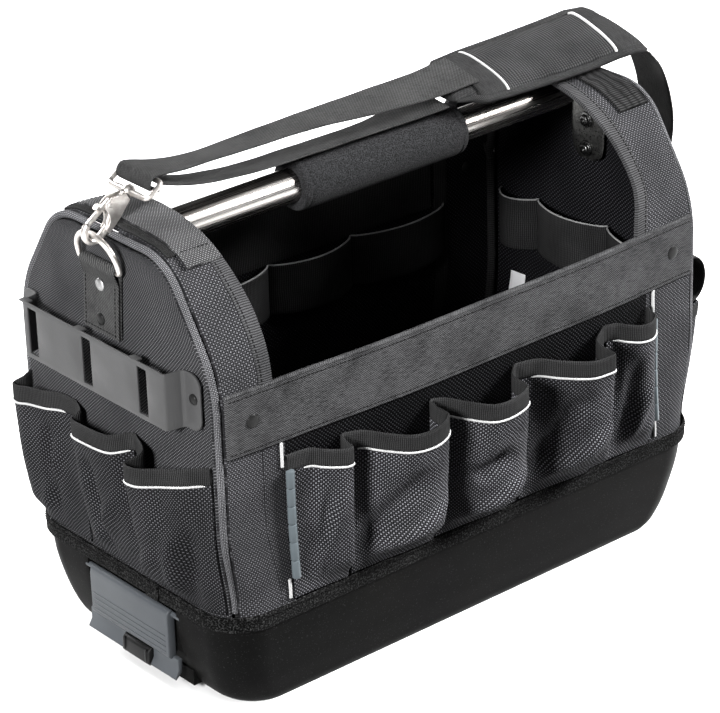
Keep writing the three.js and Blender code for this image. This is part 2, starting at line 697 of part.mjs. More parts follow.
function rightPocketGrid() {
  const { start, end, mouthZ, footDepth, depth } = RIGHT_POCKET;
  return [0, 0.35, 0.7, 1].map((v) =>
    [0, 0.025, 0.25, 0.5, 0.75, 0.975, 1].map((u) => {
      const off = u > 0 && u < 1 ? lerp(footDepth, depth, v) : 0;
      return onRightEnd(lerp(start, end, u), lerp(POCKET_LOW_Z, mouthZ, v), STAND_OFF + off);
    }),
  );
}

// Webbing arch whose foot and head are sewn flat to the end
function rightLoopGrid() {
  const { start, end, lowZ, highZ, depth } = RIGHT_LOOP;
  const sewn = 0.08;
  return [0, sewn, 0.13, 0.3, 0.5, 0.7, 0.87, 1 - sewn, 1].map((v) =>
    [start, (start + end) / 2, end].map((y) => {
      const rise = THREE.MathUtils.clamp((v - sewn) / (1 - 2 * sewn), 0, 1);
      const off = depth * Math.max(Math.sin(Math.PI * rise), 0) ** 0.4;
      return onRightEnd(y, lerp(lowZ, highZ, v), STAND_OFF + off);
    }),
  );
}

// A run of webbing loops sewn down at its joints
function loopRun({ joints, lowZ, highZ, depth }, place) {
  const curve = joints.slice(1).flatMap((right, k) => {
    const left = joints[k];
    const steps = [0, 0.1, 0.3, 0.5, 0.7, 0.9];
    return steps.map((f) => ({ along: lerp(left, right, f), off: depth * Math.sin(Math.PI * f) ** 0.7 }));
  });
  curve.push({ along: joints[joints.length - 1], off: 0 });
  const sewnAt = STAND_OFF + CLOTH + GAP;
  return [lowZ, highZ].map((z) => curve.map(({ along, off }) => place(along, z, sewnAt + off)));
}

const insideBack = (x, z, off) => vec(x, wallReach(x, z) - off, z);
const insideRight = (y, z, off) => vec(endReach(y, z) - off, y, z);

// Jointed strip at an end of the front pocket row
function edgeStrip(x) {
  const lowZ = 101;
  const links = 6;
  const linkHeight = 13.6;
  const neck = 0.8;
  const rings = [];
  for (let link = 0; link < links; link++) {
    const from = lowZ + link * linkHeight;
    rings.push(stripRing(x, { z: from, half: 2.2 }), stripRing(x, { z: from + neck, half: 3.1 }));
  }
  rings.push(stripRing(x, { z: lowZ + links * linkHeight, half: 2.2 }));
  return loft(rings);
}

function stripRing(x, { z, half }) {
  const y = -wallReach(x, z) - STAND_OFF - 1;
  return [
    vec(x - half, y, z),
    vec(x + half, y, z),
    vec(x + half, y - half, z),
    vec(x, y - 1.6 * half, z),
    vec(x - half, y - half, z),
  ];
}

// Handle

function handleTube() {
  const rows = [
    { x: 0, z: TUBE.z, across: TUBE.r, through: TUBE.r },
    { x: 186, z: TUBE.z, across: TUBE.r, through: TUBE.r },
    { x: 199, z: TUBE.z - 0.6, across: 14, through: 9 },
    { x: 208, z: TUBE.z - 1.4, across: 16.4, through: 3.4 },
    { x: 214.2, z: TUBE.z - 3, across: BRACKET.halfWidth, through: BRACKET.halfThickness },
    { x: 218, z: TUBE.z - 7, across: BRACKET.halfWidth, through: BRACKET.halfThickness },
    { x: BRACKET.x, z: TUBE.z - 14, across: BRACKET.halfWidth, through: BRACKET.halfThickness },
    { x: BRACKET.x, z: 276, across: BRACKET.halfWidth, through: BRACKET.halfThickness },
    { x: BRACKET.x, z: 264, across: 14.5, through: BRACKET.halfThickness },
    { x: BRACKET.x, z: 259.5, across: 8, through: BRACKET.halfThickness },
  ];
  const mirrored = rows.slice(1).map((row) => ({ ...row, x: -row.x }));
  const all = [...mirrored.reverse(), ...rows];
  const path = all.map((row) => vec(row.x, 0, row.z));
  return sweep(path, (i) => ellipseProfile(all[i].across, all[i].through, 12), () => AXIS_Y);
}

function handleGrip() {
  const inner = TUBE.r + GAP;
  const soft = 2.5;
  const profile = [
    [inner, GRIP.from],
    [GRIP.r - soft, GRIP.from],
    [GRIP.r, GRIP.from + soft],
    [GRIP.r, GRIP.to - soft],
    [GRIP.r - soft, GRIP.to],
    [inner, GRIP.to],
    [inner, GRIP.from],
  ].map(([radius, along]) => new THREE.Vector2(radius, along));
  return new THREE.LatheGeometry(profile, 16).rotateZ(-Math.PI / 2).translate(0, 0, TUBE.z);
}

function tubeBolt(z) {
  const profile = [
    [0, 0],
    [6.2, 0],
    [6.2, 1.2],
    [4.4, 1.4],
    [4, 3],
    [0, 3.8],
  ].map(([radius, along]) => new THREE.Vector2(radius, along));
  const headX = BRACKET.x - BRACKET.halfThickness - GAP;
  return new THREE.LatheGeometry(profile, 8).rotateZ(Math.PI / 2).translate(headX, 0, z);
}

// Strap fittings

// Webbing tab on the right-hand end, folded round the ring's straight bar
const foldX = endReach(0, TAB.foldZ) + 0.35 + TAB.loopR;

function ringTab() {
  const inside = (z) => endReach(0, z) + 0.35;
  const top = TAB.foldZ - 3;
  const outline = shapeOf([
    [inside(TAB.lowZ), TAB.lowZ],
    [inside(TAB.lowZ) + TAB.thickness, TAB.lowZ],
    [inside(288) + TAB.thickness, 288],
    [inside(304) + TAB.thickness, 304],
    [foldX + TAB.loopR, top + 2],
  ]);
  outline.absarc(foldX, TAB.foldZ, TAB.loopR, 0, Math.PI, false);
  outline.lineTo(inside(288), 288);
  const eye = new THREE.Path();
  eye.absarc(foldX, TAB.foldZ, TAB.holeR, 0, 2 * Math.PI, true);
  outline.holes.push(eye);
  return extrudeAcross(outline, 2 * TAB.halfWidth);
}

// D-ring from its bar to the place where the hook hangs on it
function dRing(barX, hook) {
  const half = TAB.halfWidth + 0.6 + RING_WIRE;
  const rise = vec(hook.x - barX, 0, hook.z - TAB.foldZ);
  const height = rise.length();
  rise.normalize();
  const straight = 5;
  const flat = [
    [-half + 2.2, 0],
    [0, 0],
    [half - 2.2, 0],
    [half, 2.4],
  ];
  const arcSteps = 10;
  for (let i = 0; i <= arcSteps; i++) {
    const angle = (Math.PI * i) / arcSteps;
    flat.push([half * Math.cos(angle), straight + (height - straight) * Math.sin(angle)]);
  }
  flat.push([-half, 2.4]);
  const path = flat.map(([y, up]) => vec(barX, y, TAB.foldZ).addScaledVector(rise, up));
  const facing = rise.clone().cross(AXIS_Y).normalize();
  return sweep(path, ellipseProfile(RING_WIRE, RING_WIRE, 6), () => facing, true);
}

// Snap hook in its own frame: X runs from the ring wire up the shank, +Z is the side of the gate
function hookBody() {
  const bowPath = [vec(15, 0, -5.6), vec(8.5, 0, -7)];
  for (const degrees of [-90, -125, -160, 165, 130, 97]) {
    const angle = degToRad(degrees);
    bowPath.push(vec(HOOK.bowX + HOOK.bowR * Math.cos(angle), 0, HOOK.bowR * Math.sin(angle)));
  }
  const bow = sweep(bowPath, ellipseProfile(HOOK.wire, HOOK.wire, 8), () => AXIS_Y);
  const shankRows = [
    { x: 12, low: -8, high: -2.5, half: 2.3 },
    { x: 18, low: -7.4, high: 1.5, half: 2.6 },
    { x: 22, low: -6.6, high: 4.4, half: 2.6 },
    { x: 28, low: -5, high: 4.6, half: 2.6 },
    { x: 34.5, low: -3, high: 3, half: 2.6 },
  ];
  const shank = loft(
    shankRows.map(({ x, low, high, half }) => [
      vec(x, -half, low),
      vec(x, half, low),
      vec(x, half, high),
      vec(x, -half, high),
    ]),
  );
  const cheeks = blockPair(19, 26, 2.6, 4, 1, 9);
  const webs = blockPair(20, 26, 1, 3, 1, 4);
  const post = rod(HOOK.postR, 33.5, 42.5, 10);
  const head = rod(3.3, 41.2, 42.8, 10);
  return join(bow, shank, ...cheeks, ...webs, post, head);
}

function hookGate() {
  const rows = [
    { x: 2.2, half: 1.5 },
    { x: 12, half: 1.4 },
    { x: 20, half: 1.4 },
    { x: 25, half: 1.2 },
  ];
  const lever = loft(
    rows.map(({ x, half }) => [
      vec(x, -2.2, HOOK.gateZ - half),
      vec(x, 2.2, HOOK.gateZ - half),
      vec(x, 2.2, HOOK.gateZ + half),
      vec(x, -2.2, HOOK.gateZ + half),
    ]),
  );
  const knob = new THREE.CylinderGeometry(2.6, 1.9, 4, 10).rotateX(Math.PI / 2);
  return join(lever, knob.translate(14.5, 0, HOOK.gateZ + 3));
}

// Strap ring with a collar that turns on the hook's post
function hookRing() {
  const round = 3;
  const { ringNear, ringFar } = HOOK;
  const { halfWidth } = STRAP_RING;
  const path = [];
  const corners = [
    { x: ringNear + round, y: -halfWidth + round, from: 180 },
    { x: ringFar - round, y: -halfWidth + round, from: 270 },
    { x: ringFar - round, y: halfWidth - round, from: 0 },
    { x: ringNear + round, y: halfWidth - round, from: 90 },
  ];
  for (const { x, y, from } of corners) {
    for (const turn of [0, 45, 90]) {
      const angle = degToRad(from + turn);
      path.push(vec(x + round * Math.cos(angle), y + round * Math.sin(angle), 0));
    }
  }
  const loop = sweep(path, ellipseProfile(STRAP_RING.wire, STRAP_RING.wire, 6), () => vec(0, 0, 1), true);
  const collar = rod(4.4, ringNear - 2.3, ringNear + 2.3, 12);
  const bore = rod(HOOK.postR + 0.5, ringNear - 6, ringNear + 6, 12);
  return cut(join(loop, collar), bore);
}

function addHook(end) {
  const { x, z, angle } = HOOKS[end];
  const hook = new THREE.Group();
  hook.position.set(x, 0, z);
  hook.rotation.y = -degToRad(angle);
  add(`hook_body_${end}`, hookBody(), MATERIALS.chrome, hook);
  add(`hook_gate_${end}`, hookGate(), MATERIALS.chrome, hook);
  add(`hook_ring_${end}`, hookRing(), MATERIALS.chrome, hook);
  bag.add(hook);
}

// Middle of a hook's strap bar
function strapBar(end) {
  const { x, z, angle } = HOOKS[end];
  const turn = degToRad(angle);
  return { x: x + HOOK.ringFar * Math.cos(turn), z: z + HOOK.ringFar * Math.sin(turn) };
}

// Rows that carry the webbing round a strap bar, between two directions in degrees
function wrapRows(end, from, to) {
  const bar = strapBar(end);
  const radius = STRAP_RING.wire + 0.4 + WEBBING / 2;
  const steps = 6;
  return Array.from({ length: steps + 1 }, (_, i) => {
    const angle = degToRad(lerp(from, to, i / steps));
    return { x: bar.x + radius * Math.cos(angle), y: 0, z: bar.z + radius * Math.sin(angle), tilt: 0 };
  });
}

function shoulderPad() {
  const path = PAD_ROWS.map((row) => vec(row.x, 0, row.z));
  const across = (i) => vec(0, Math.cos(degToRad(PAD_ROWS[i].tilt)), Math.sin(degToRad(PAD_ROWS[i].tilt)));
  const section = (i) => ellipseProfile(PAD_ROWS[i].halfWidth, PAD_ROWS[i].halfHeight, 12);
  return sweep(path, section, across);
}

// Sheet-metal holder on the left end

function clipPlate() {
  const { x, halfWidth, footX, footIn, footOut, lowZ, highZ, sheet } = CLIP;
  const half = [
    { x, y: 0 },
    { x, y: halfWidth - 1.5 },
    { x: x - 1.5, y: halfWidth },
    { x: footX + 1.5, y: footIn - 3 },
    { x: footX, y: footIn },
    { x: footX, y: footOut },
  ];
  const line = [...half.slice(1).map((p) => ({ x: p.x, y: -p.y })).reverse(), ...half];
  const grid = [lowZ, highZ].map((z) => line.map((p) => vec(-p.x, p.y, z)));
  const plate = shell(grid, 0, sheet, leftOut);
  const slots = [-1, 0, 1].map((k) => {
    const y = CLIP_SLOTS.middle + k * CLIP_SLOTS.pitch;
    const half = CLIP_SLOTS.width / 2;
    return block(-x - 5, -x + 5, y - half, y + half, CLIP_SLOTS.lowZ, CLIP_SLOTS.highZ);
  });
  return cut(plate, ...slots);
}

// Assembly

add("base_tray", baseTray(), MATERIALS.tray);
addBothEnds("latch_plate", latchPlate, MATERIALS.latch);
addBothEnds("latch_trigger", latchTrigger, MATERIALS.trigger);
addBothEnds("end_panel", endPanel, MATERIALS.cloth);
addBothEnds("end_piping", endPiping, MATERIALS.cloth);
addBothEnds("hood", hood, MATERIALS.cloth);
addBothEnds("hood_binding", hoodBinding, MATERIALS.webbing);
add("hood_flap_right", hoodFlap("right", 187, 213, GAP), MATERIALS.band);
add("hood_flap_left", hoodFlap("left", 177.5, 207, GAP + 0.9), MATERIALS.band).rotation.z = Math.PI;
add("front_panel", shell(panelGrid(), 0, CLOTH, frontOut), MATERIALS.cloth);
add("back_panel", shell(toBack(panelGrid()), 0, CLOTH, backOut), MATERIALS.cloth);
add("front_band", shell(bandGrid(), GAP + WEBBING, -GAP, frontOut), MATERIALS.band);
add("back_band", shell(toBack(bandGrid()), GAP + WEBBING, -GAP, backOut), MATERIALS.band);
add("inner_band", innerBand(), MATERIALS.webbing);
add("bottom_binding", bottomBinding(), MATERIALS.webbing);
FRONT_POCKETS.forEach((pocket, i) => {
  const grid = pocketGrid(pocket, FRONT_MOUTH_Z, onFront);
  add(`front_pocket_${i + 1}`, shell(grid, 0, POCKET_CLOTH, frontOut), MATERIALS.cloth);
});
add(
  "front_pocket_hem",
  shell(hemGrid(FRONT_POCKETS, FRONT_MOUTH_Z, onFront), 0, HEM.thickness, frontOut),
  MATERIALS.webbing,
);
LEFT_POCKETS.forEach((pocket, i) => {
  const grid = pocketGrid(pocket, LEFT_MOUTH_Z, onLeftEnd);
  add(`left_pocket_${i + 1}`, shell(grid, 0, POCKET_CLOTH, leftOut), MATERIALS.cloth);
});
add(
  "left_pocket_hem",
  shell(hemGrid([...LEFT_POCKETS].reverse(), LEFT_MOUTH_Z, onLeftEnd), 0, HEM.thickness, leftOut),
  MATERIALS.webbing,
);
add("right_pocket", shell(rightPocketGrid(), 0, POCKET_CLOTH, vec(1, 0, 0)), MATERIALS.cloth);
add("right_loop", shell(rightLoopGrid(), 0, WEBBING, vec(1, 0, 0)), MATERIALS.webbing);
const backLoops = loopRun(BACK_LOOPS, insideBack);
const rightLoops = loopRun(RIGHT_LOOPS, insideRight);
add("inner_back_loops", shell(backLoops, 0, POCKET_CLOTH, frontOut), MATERIALS.webbing);
add("inner_right_loops", shell(rightLoops, 0, POCKET_CLOTH, leftOut), MATERIALS.webbing);
add("edge_strip_left", edgeStrip(-168), MATERIALS.strip);
add("edge_strip_right", edgeStrip(172), MATERIALS.strip);
add("clip_plate", clipPlate(), MATERIALS.clip);
add("handle_tube", handleTube(), MATERIALS.chrome);
add("handle_grip", handleGrip(), MATERIALS.grip);
addBothEnds("tube_bolt_upper", () => tubeBolt(291), MATERIALS.steel);
addBothEnds("tube_bolt_lower", () => tubeBolt(268), MATERIALS.steel);
addBothEnds("ring_tab", ringTab, MATERIALS.webbing);
add("d_ring_left", dRing(-foldX, HOOKS.left), MATERIALS.chrome);
add("d_ring_right", dRing(foldX, HOOKS.right), MATERIALS.chrome);
addHook("left");
addHook("right");
add("strap_upper", ribbon([...wrapRows("left", 270, 90), ...STRAP_UPPER_ROWS]), MATERIALS.webbing);
add("strap_lower", ribbon(STRAP_LOWER_ROWS), MATERIALS.webbing);
add("strap_right", ribbon([...STRAP_RIGHT_ROWS, ...wrapRows("right", -20, 180)]), MATERIALS.webbing);
add("shoulder_pad", shoulderPad(), MATERIALS.cloth);

export default bag;
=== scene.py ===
import math
from collections import namedtuple

import bmesh
import bpy
import numpy as np
from mathutils import Matrix, Vector


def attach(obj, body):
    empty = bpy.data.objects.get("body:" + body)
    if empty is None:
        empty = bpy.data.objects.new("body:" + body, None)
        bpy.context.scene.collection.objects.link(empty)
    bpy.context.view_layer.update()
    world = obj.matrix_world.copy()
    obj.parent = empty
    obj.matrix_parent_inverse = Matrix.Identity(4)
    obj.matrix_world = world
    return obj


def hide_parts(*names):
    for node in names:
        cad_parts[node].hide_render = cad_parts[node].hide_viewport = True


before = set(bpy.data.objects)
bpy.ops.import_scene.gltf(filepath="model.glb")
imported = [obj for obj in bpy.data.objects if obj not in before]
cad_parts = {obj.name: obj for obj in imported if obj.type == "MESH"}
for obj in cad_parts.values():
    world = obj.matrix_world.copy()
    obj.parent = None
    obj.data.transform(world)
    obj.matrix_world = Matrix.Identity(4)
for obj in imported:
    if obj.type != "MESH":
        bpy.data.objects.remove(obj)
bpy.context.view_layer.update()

# Looks of the tool bag. Sizes are in millimetres until a mesh is made. X runs along the bag and the
# front faces -Y.
MM = 0.001
Raw = namedtuple("Raw", "verts faces uvs")
BAG_MIDDLE = Vector((0.0, 0.0, 0.17))

# Driving dimensions, the same as the solids have
GAP = 0.3
CLOTH = 2.4
POCKET_CLOTH = 1.6
WEBBING = 1.7
TRAY_HEIGHT = 70.0
TRAY_WALL = 3.0
TRAY_FLOOR = 4.0
TRAY_LENGTH = 221.0  # half
TRAY_WIDTH = 116.5  # half
TRAY_CORNER = 32.0
TRAY_ROWS = [  # z, half length, half width, corner
    (0, 200, 101, 30),
    (4, 204.5, 103.5, 31),
    (10, 208.5, 105, 31),
    (20, 212.5, 107.5, 31),
    (35, 217, 110.5, 32),
    (52, 220, 113.8, 32),
    (70, 221, 116.5, 32),
]
ARCH_X = 221.0
ARCH_SIDE_Y = 110.5
ARCH_SHOULDER_Z = 261.0
ARCH_SHOULDER_R = 90.0
ARCH_TOP_Y = 62.0
ARCH_TOP_Z = 336.0
ARCH_TOP_R = 45.0
PANEL_TOP_Z = 249.0
BAND_LOW_Z = 204.0
FRONT_BOW = 7.5
END_BULGE = 7.0
TUCK_FROM = 84.0
TUCK_TO = 150.0
PIPING_R = 2.6
HOOD_FREE_X = {"left": 176.0, "right": 166.0}  # distance of each free edge from the bag's middle
HOOD_FLARE = {"left": 0.0, "right": 8.0}  # how much nearer the middle it lies at the band
HOOD_FLARE_TO_Z = 285.0
HOOD_CROWN_Z = 245.0  # above this the free edge is an ellipse
HOOD_CROWN_RISE = 96.5
HOOD_BINDING = 10.0
INNER_SEAM_INSET = 8.0  # taped seam inside the corner of an end and its hood
INNER_SEAM_R = 3.4
SEAM_TAPE_HALF = 6.0
FOLD_RISE = 1.1
TUBE_Z = 322.0
TUBE_R = 12.25
GRIP_FROM = -65.0
GRIP_TO = 85.0
GRIP_R = 19.5
TAB_HALF_WIDTH = 19.6
TAB_LOW_Z = 264.0
TAB_FOLD_Z = 313.0
TAB_LOOP_R = 4.2
RING_WIRE = 2.1
LATCH_HALF = 45.0
LATCH_RECESS = 51.4
LATCH_LIP = 51.0
LATCH_PIN_X = 219.0
LATCH_PIN_Z = 60.5
TRIGGER_FROM = -9.0
TRIGGER_TO = 22.0
POCKET_LOW_Z = 84.0
HEM_HEIGHT = 11.5
HEM_THICKNESS = 2.2
HEM_SAG = 3.0
JOINT_GAP = 1.3
STAND_OFF = POCKET_CLOTH + 0.4
FOOT_SHARE = 0.02  # how much of a pocket's depth is left at its foot
FRONT_FOLD_FOOT = 0.62  # the same along the fold of a front pocket
LEFT_FOLD_FOOT = 0.4
FOOT_TUCK = 0.15  # how much of that reaches the tape
FRONT_MOUTH_Z = 192.0
LEFT_MOUTH_Z = 197.0
STRAP_HALF_WIDTH = 19.0

Pocket = namedtuple("Pocket", "start end lead crest fold depth fold_depth")
FRONT_POCKETS = [
    Pocket(-170, -120, 20, 36, 46.5, 13, 14),
    Pocket(-120, -43, 12, 37, 74, 29, 20),
    Pocket(-43, 36, 8, 30, 66, 32, 26),
    Pocket(36, 123, 16, 45, 66, 31, 32),
    Pocket(123, 170, 9, 24, 44, 14, 9),
]
POCKETS_FROM_X = -168.0
POCKETS_TO_X = 172.0
LEFT_POCKETS = [
    Pocket(41, 104, 16, 44, 59, 13, 16),
    Pocket(-28, 41, 4, 14, 55, 11, 13),
    Pocket(-105, -28, 6, 28, 53, 20, 28),
]
# Creases of the pockets: share of the width and of the height where each starts and ends, then how far
# it stands out and how wide it is
Crease = namedtuple("Crease", "from_u from_v to_u to_v height width")
FRONT_CREASES = [
    [Crease(0.35, 0.02, 0.8, 0.75, 3.4, 4.5), Crease(0.5, 0.05, 0.62, 0.8, -3.2, 4.0)],
    [
        Crease(0.08, 0.02, 0.95, 0.45, 7.0, 6.0),
        Crease(0.12, 0.16, 0.62, 0.78, -7.0, 8.0),
        Crease(0.5, 0.02, 0.98, 0.2, -4.0, 5.0),
    ],
    [
        Crease(0.08, 0.02, 0.8, 0.42, 7.5, 6.5),
        Crease(0.3, 0.5, 0.6, 0.66, -8.0, 8.0),
        Crease(0.5, 0.02, 0.85, 0.22, -4.0, 5.0),
    ],
    [
        Crease(0.1, 0.02, 0.74, 0.5, 7.0, 6.5),
        Crease(0.16, 0.2, 0.5, 0.82, -6.5, 7.0),
        Crease(0.42, 0.02, 0.7, 0.18, -4.0, 5.0),
    ],
    [Crease(0.25, 0.02, 0.8, 0.6, 4.0, 5.0), Crease(0.3, 0.1, 0.5, 0.85, -4.0, 5.0)],
]
LEFT_CREASES = [
    [Crease(0.75, 0.02, 0.35, 0.7, 4.5, 5.0), Crease(0.55, 0.05, 0.5, 0.9, -6.5, 4.5)],
    [Crease(0.8, 0.02, 0.25, 0.6, 5.0, 6.0), Crease(0.55, 0.02, 0.6, 0.85, -7.0, 5.0)],
    [
        Crease(0.3, 0.02, 0.22, 0.62, -9.0, 4.5),
        Crease(0.42, 0.02, 0.34, 0.6, 8.0, 5.0),
        Crease(0.9, 0.1, 0.5, 0.45, 4.5, 7.0),
    ],
]

STRAP_UPPER_ROWS = [  # x, y, z, sideways tilt
    (-170, 0, 368, -6),
    (-141, 1, 365, -12),
    (-98, 2, 364, -10),
    (-54, 3, 363.5, -7),
    (-9, 3, 362, 0),
    (37, 2, 361, 6),
    (67, 1, 361.2, 8),
    (84, 1, 362.4, 10),
    (96, 1, 363, 12),
]
STRAP_LOWER_ROWS = [
    (-187.5, 0, 364.9, 0),
    (-172, 0, 358.5, -4),
    (-152, 2, 351.5, -9),
    (-118, 4, 345.5, -12),
    (-85, 4.4, 343, -13),
    (-50, 4.4, 342.4, -13),
    (20, 4.4, 342.4, -12),
    (45, 3, 345, -5),
    (67, 1, 350, 6),
]
STRAP_RIGHT_ROWS = [
    (264.6, 0, 338.3, 8),
    (275, -1, 326, 10),
    (283, -2, 307, 13),
    (287, -3, 284, 14),
    (284, -3, 258, 11),
    (275, -2, 237, 7),
    (264, -1, 226, 3),
    (256, 0, 227, 0),
]
PAD_ROWS = [  # x, z, half width, half height, tilt
    (67.4, 354.3, 21, 6.2, 8),
    (84, 355, 23, 6.6, 10),
    (92, 355.2, 29, 7.2, 12),
    (115, 355.2, 30, 7.8, 14),
    (155, 355, 30, 7.8, 16),
    (195, 355.5, 30, 7.8, 18),
    (222, 357, 30, 7.4, 18),
    (239, 356, 30, 7, 16),
    (250, 352, 29, 6.4, 14),
    (258, 346, 23, 5.4, 11),
    (264, 339, 20, 4.4, 8),
]
Hook = namedtuple("Hook", "x z angle")
HOOKS = {"left": Hook(-233.5, 337.2, 34), "right": Hook(242, 294, -82)}
RING_NEAR = 38.4
RING_FAR = 53.5
RING_HALF_WIDTH = 21.6
RING_BAR = 1.9
GATE_Z = 7.2


# Numbers

def lerp(a, b, t):
    return a + (b - a) * t


def smoothstep(value, low, high):
    t = np.clip((value - low) / (high - low), 0.0, 1.0)
    return t * t * (3.0 - 2.0 * t)


def unit(vectors):
    length = np.linalg.norm(vectors, axis=-1, keepdims=True)
    return vectors / np.maximum(length, 1e-9)


def arc_lengths(points):
    return np.concatenate([[0.0], np.cumsum(np.linalg.norm(np.diff(points, axis=0), axis=1))])


def stacked(x, y, z):
    """Places from their three coordinates."""
    return np.stack(np.broadcast_arrays(x, y, z), axis=-1)


def as_grids(*values):
    """Numbers as arrays of one shape."""
    return np.broadcast_arrays(*(np.asarray(value, float) for value in values))


def in_middle(line):
    """A line of (x, z) places laid in the bag's middle plane."""
    return stacked(line[:, 0], 0.0, line[:, 1])


def resample(points, step):
    """The same line with rows about step apart; the first three columns are places."""
    points = np.asarray(points, float)
    along = arc_lengths(points[:, :3])
    count = max(int(round(along[-1] / step)), 1) + 1
    places = np.linspace(0.0, along[-1], count)
    return np.stack([np.interp(places, along, points[:, k]) for k in range(points.shape[1])], axis=1)


def spline(points, per_segment, alpha=0.5):
    """A smooth curve through rows of numbers, whose first columns are a place."""
    points = np.asarray(points, float)
    first = 2 * points[0] - points[1]
    last = 2 * points[-1] - points[-2]
    p = np.vstack([first, points, last])
    curve = []
    for i in range(1, len(p) - 2):
        quad = p[i - 1:i + 3]
        gaps = np.maximum(np.linalg.norm(np.diff(quad[:, :3], axis=0), axis=1), 1e-6) ** alpha
        knots = np.concatenate([[0.0], np.cumsum(gaps)])
        t = np.linspace(knots[1], knots[2], per_segment, endpoint=False)[:, None]

        def between(a, b, low, high):
            return ((high - t) * a + (t - low) * b) / (high - low)

        a1 = between(quad[0], quad[1], knots[0], knots[1])
        a2 = between(quad[1], quad[2], knots[1], knots[2])
        a3 = between(quad[2], quad[3], knots[2], knots[3])
        b1 = between(a1, a2, knots[0], knots[2])
        b2 = between(a2, a3, knots[1], knots[3])
        curve.append(between(b1, b2, knots[1], knots[2]))
    curve.append(points[-1:])
    return np.vstack(curve)


WAVE_STEP = 1.7  # each further wave of an uneven line is shorter and weaker
WAVE_FADE = 0.6
WAVE_SCALE = 2.2


def waver(places, seed, waves, longest):
    """A smooth uneven line between -1 and 1 along a distance."""
    draw = np.random.default_rng(seed)
    total = np.zeros_like(places, dtype=float)
    for k in range(waves):
        length = longest / (1.0 + k * WAVE_STEP)
        phase = draw.uniform(0, 2 * math.pi)
        total += np.sin(2 * math.pi * places / length + phase) / (1.0 + WAVE_FADE * k)
    return total / WAVE_SCALE


# The bag's surfaces

def tuck(z):
    return 1.0 - smoothstep(z, TUCK_FROM, TUCK_TO)


CORNER_SIDE = TRAY_WIDTH - TRAY_CORNER + TRAY_CORNER * math.sqrt(0.5)
CORNER_END = TRAY_LENGTH - TRAY_CORNER + TRAY_CORNER * math.sqrt(0.5)
WALL_BASE_Z = TRAY_HEIGHT + GAP


def edge_inset(z):
    return lerp(2 * PIPING_R + 2 * GAP, PIPING_R, tuck(z))


def tray_reach(place, along, out):
    past = np.maximum(np.abs(place) - (along - TRAY_CORNER), 0.0)
    return out - TRAY_CORNER + np.sqrt(np.maximum(TRAY_CORNER**2 - past**2, 0.0))


LEAN = unit(np.array([ARCH_TOP_Y - ARCH_SIDE_Y, ARCH_TOP_Z - ARCH_SHOULDER_Z]))
SHOULDER_TURN = math.acos(LEAN[1])
TOP_TURN = math.pi / 2 - SHOULDER_TURN
SHOULDER_CENTRE = (
    ARCH_SIDE_Y - ARCH_SHOULDER_R,
    ARCH_SHOULDER_Z - ARCH_SHOULDER_R * math.tan(SHOULDER_TURN / 2),
)
TOP_CENTRE = (ARCH_TOP_Y - ARCH_TOP_R * math.tan(TOP_TURN / 2), ARCH_TOP_Z - ARCH_TOP_R)


def arc_y(centre, radius, z):
    return centre[0] + np.sqrt(np.maximum(radius**2 - (z - centre[1])**2, 0.0))


def arch_half_width(z, inset):
    shoulder_r = ARCH_SHOULDER_R - inset
    top_r = ARCH_TOP_R - inset
    lean_from = SHOULDER_CENTRE[1] + shoulder_r * math.sin(SHOULDER_TURN)
    lean_to = TOP_CENTRE[1] + top_r * math.sin(SHOULDER_TURN)
    lean_from_y = SHOULDER_CENTRE[0] + shoulder_r * math.cos(SHOULDER_TURN)
    lean_to_y = TOP_CENTRE[0] + top_r * math.cos(SHOULDER_TURN)
    leaning = lerp(lean_from_y, lean_to_y, (z - lean_from) / (lean_to - lean_from))
    return np.select(
        [z <= SHOULDER_CENTRE[1], z <= lean_from, z >= lean_to],
        [ARCH_SIDE_Y - inset, arc_y(SHOULDER_CENTRE, shoulder_r, z), arc_y(TOP_CENTRE, top_r, z)],
        leaning,
    )


def end_bulge(t, z):
    height = np.clip((z - TRAY_HEIGHT) / (ARCH_TOP_Z - TRAY_HEIGHT), 0.0, 1.0)
    return END_BULGE * (1.0 - t * t) * np.sin(math.pi * height) ** 0.8


def end_point(t, z):
    """Outer face of the right-hand end at t from -1 to 1 across it."""
    t, z = as_grids(t, z)
    k = tuck(z)
    inset = edge_inset(z)
    tray_y = t * (CORNER_SIDE - inset)
    x = lerp(ARCH_X + end_bulge(t, z), tray_reach(tray_y, TRAY_WIDTH, TRAY_LENGTH), k)
    y = lerp(t * arch_half_width(z, inset), tray_y, k)
    return np.stack([x, y, z], axis=-1)


def end_reach(y, z):
    """How far the right-hand end's outer face stands from the bag's middle."""
    y, z = as_grids(y, z)
    inset = edge_inset(z)
    half = lerp(arch_half_width(z, inset), CORNER_SIDE - inset, tuck(z))
    return end_point(np.clip(y / half, -1.0, 1.0), z)[..., 0]


RIPPLE = 0.6  # slow waves of the walls, which fade out at the foot and towards the ends
RIPPLE_LENGTH_X = 31.0
RIPPLE_LENGTH_Z = 60.0
RIPPLE_RISE_Z = (90.0, 150.0)
RIPPLE_FADE_X = (140.0, 176.0)


def wall_reach(x, z):
    """How far a wall's outer face stands from the bag's middle."""
    x, z = as_grids(x, z)
    k = tuck(z)
    s = x / lerp(ARCH_X, CORNER_END, k)
    tray_y = tray_reach(s * CORNER_END, TRAY_LENGTH, TRAY_WIDTH)
    ripple = RIPPLE * np.sin(x / RIPPLE_LENGTH_X + z / RIPPLE_LENGTH_Z) * smoothstep(z, *RIPPLE_RISE_Z)
    ripple = ripple * (1.0 - smoothstep(np.abs(x), *RIPPLE_FADE_X))
    return lerp(ARCH_SIDE_Y + FRONT_BOW * (1.0 - s * s), tray_y, k) + ripple


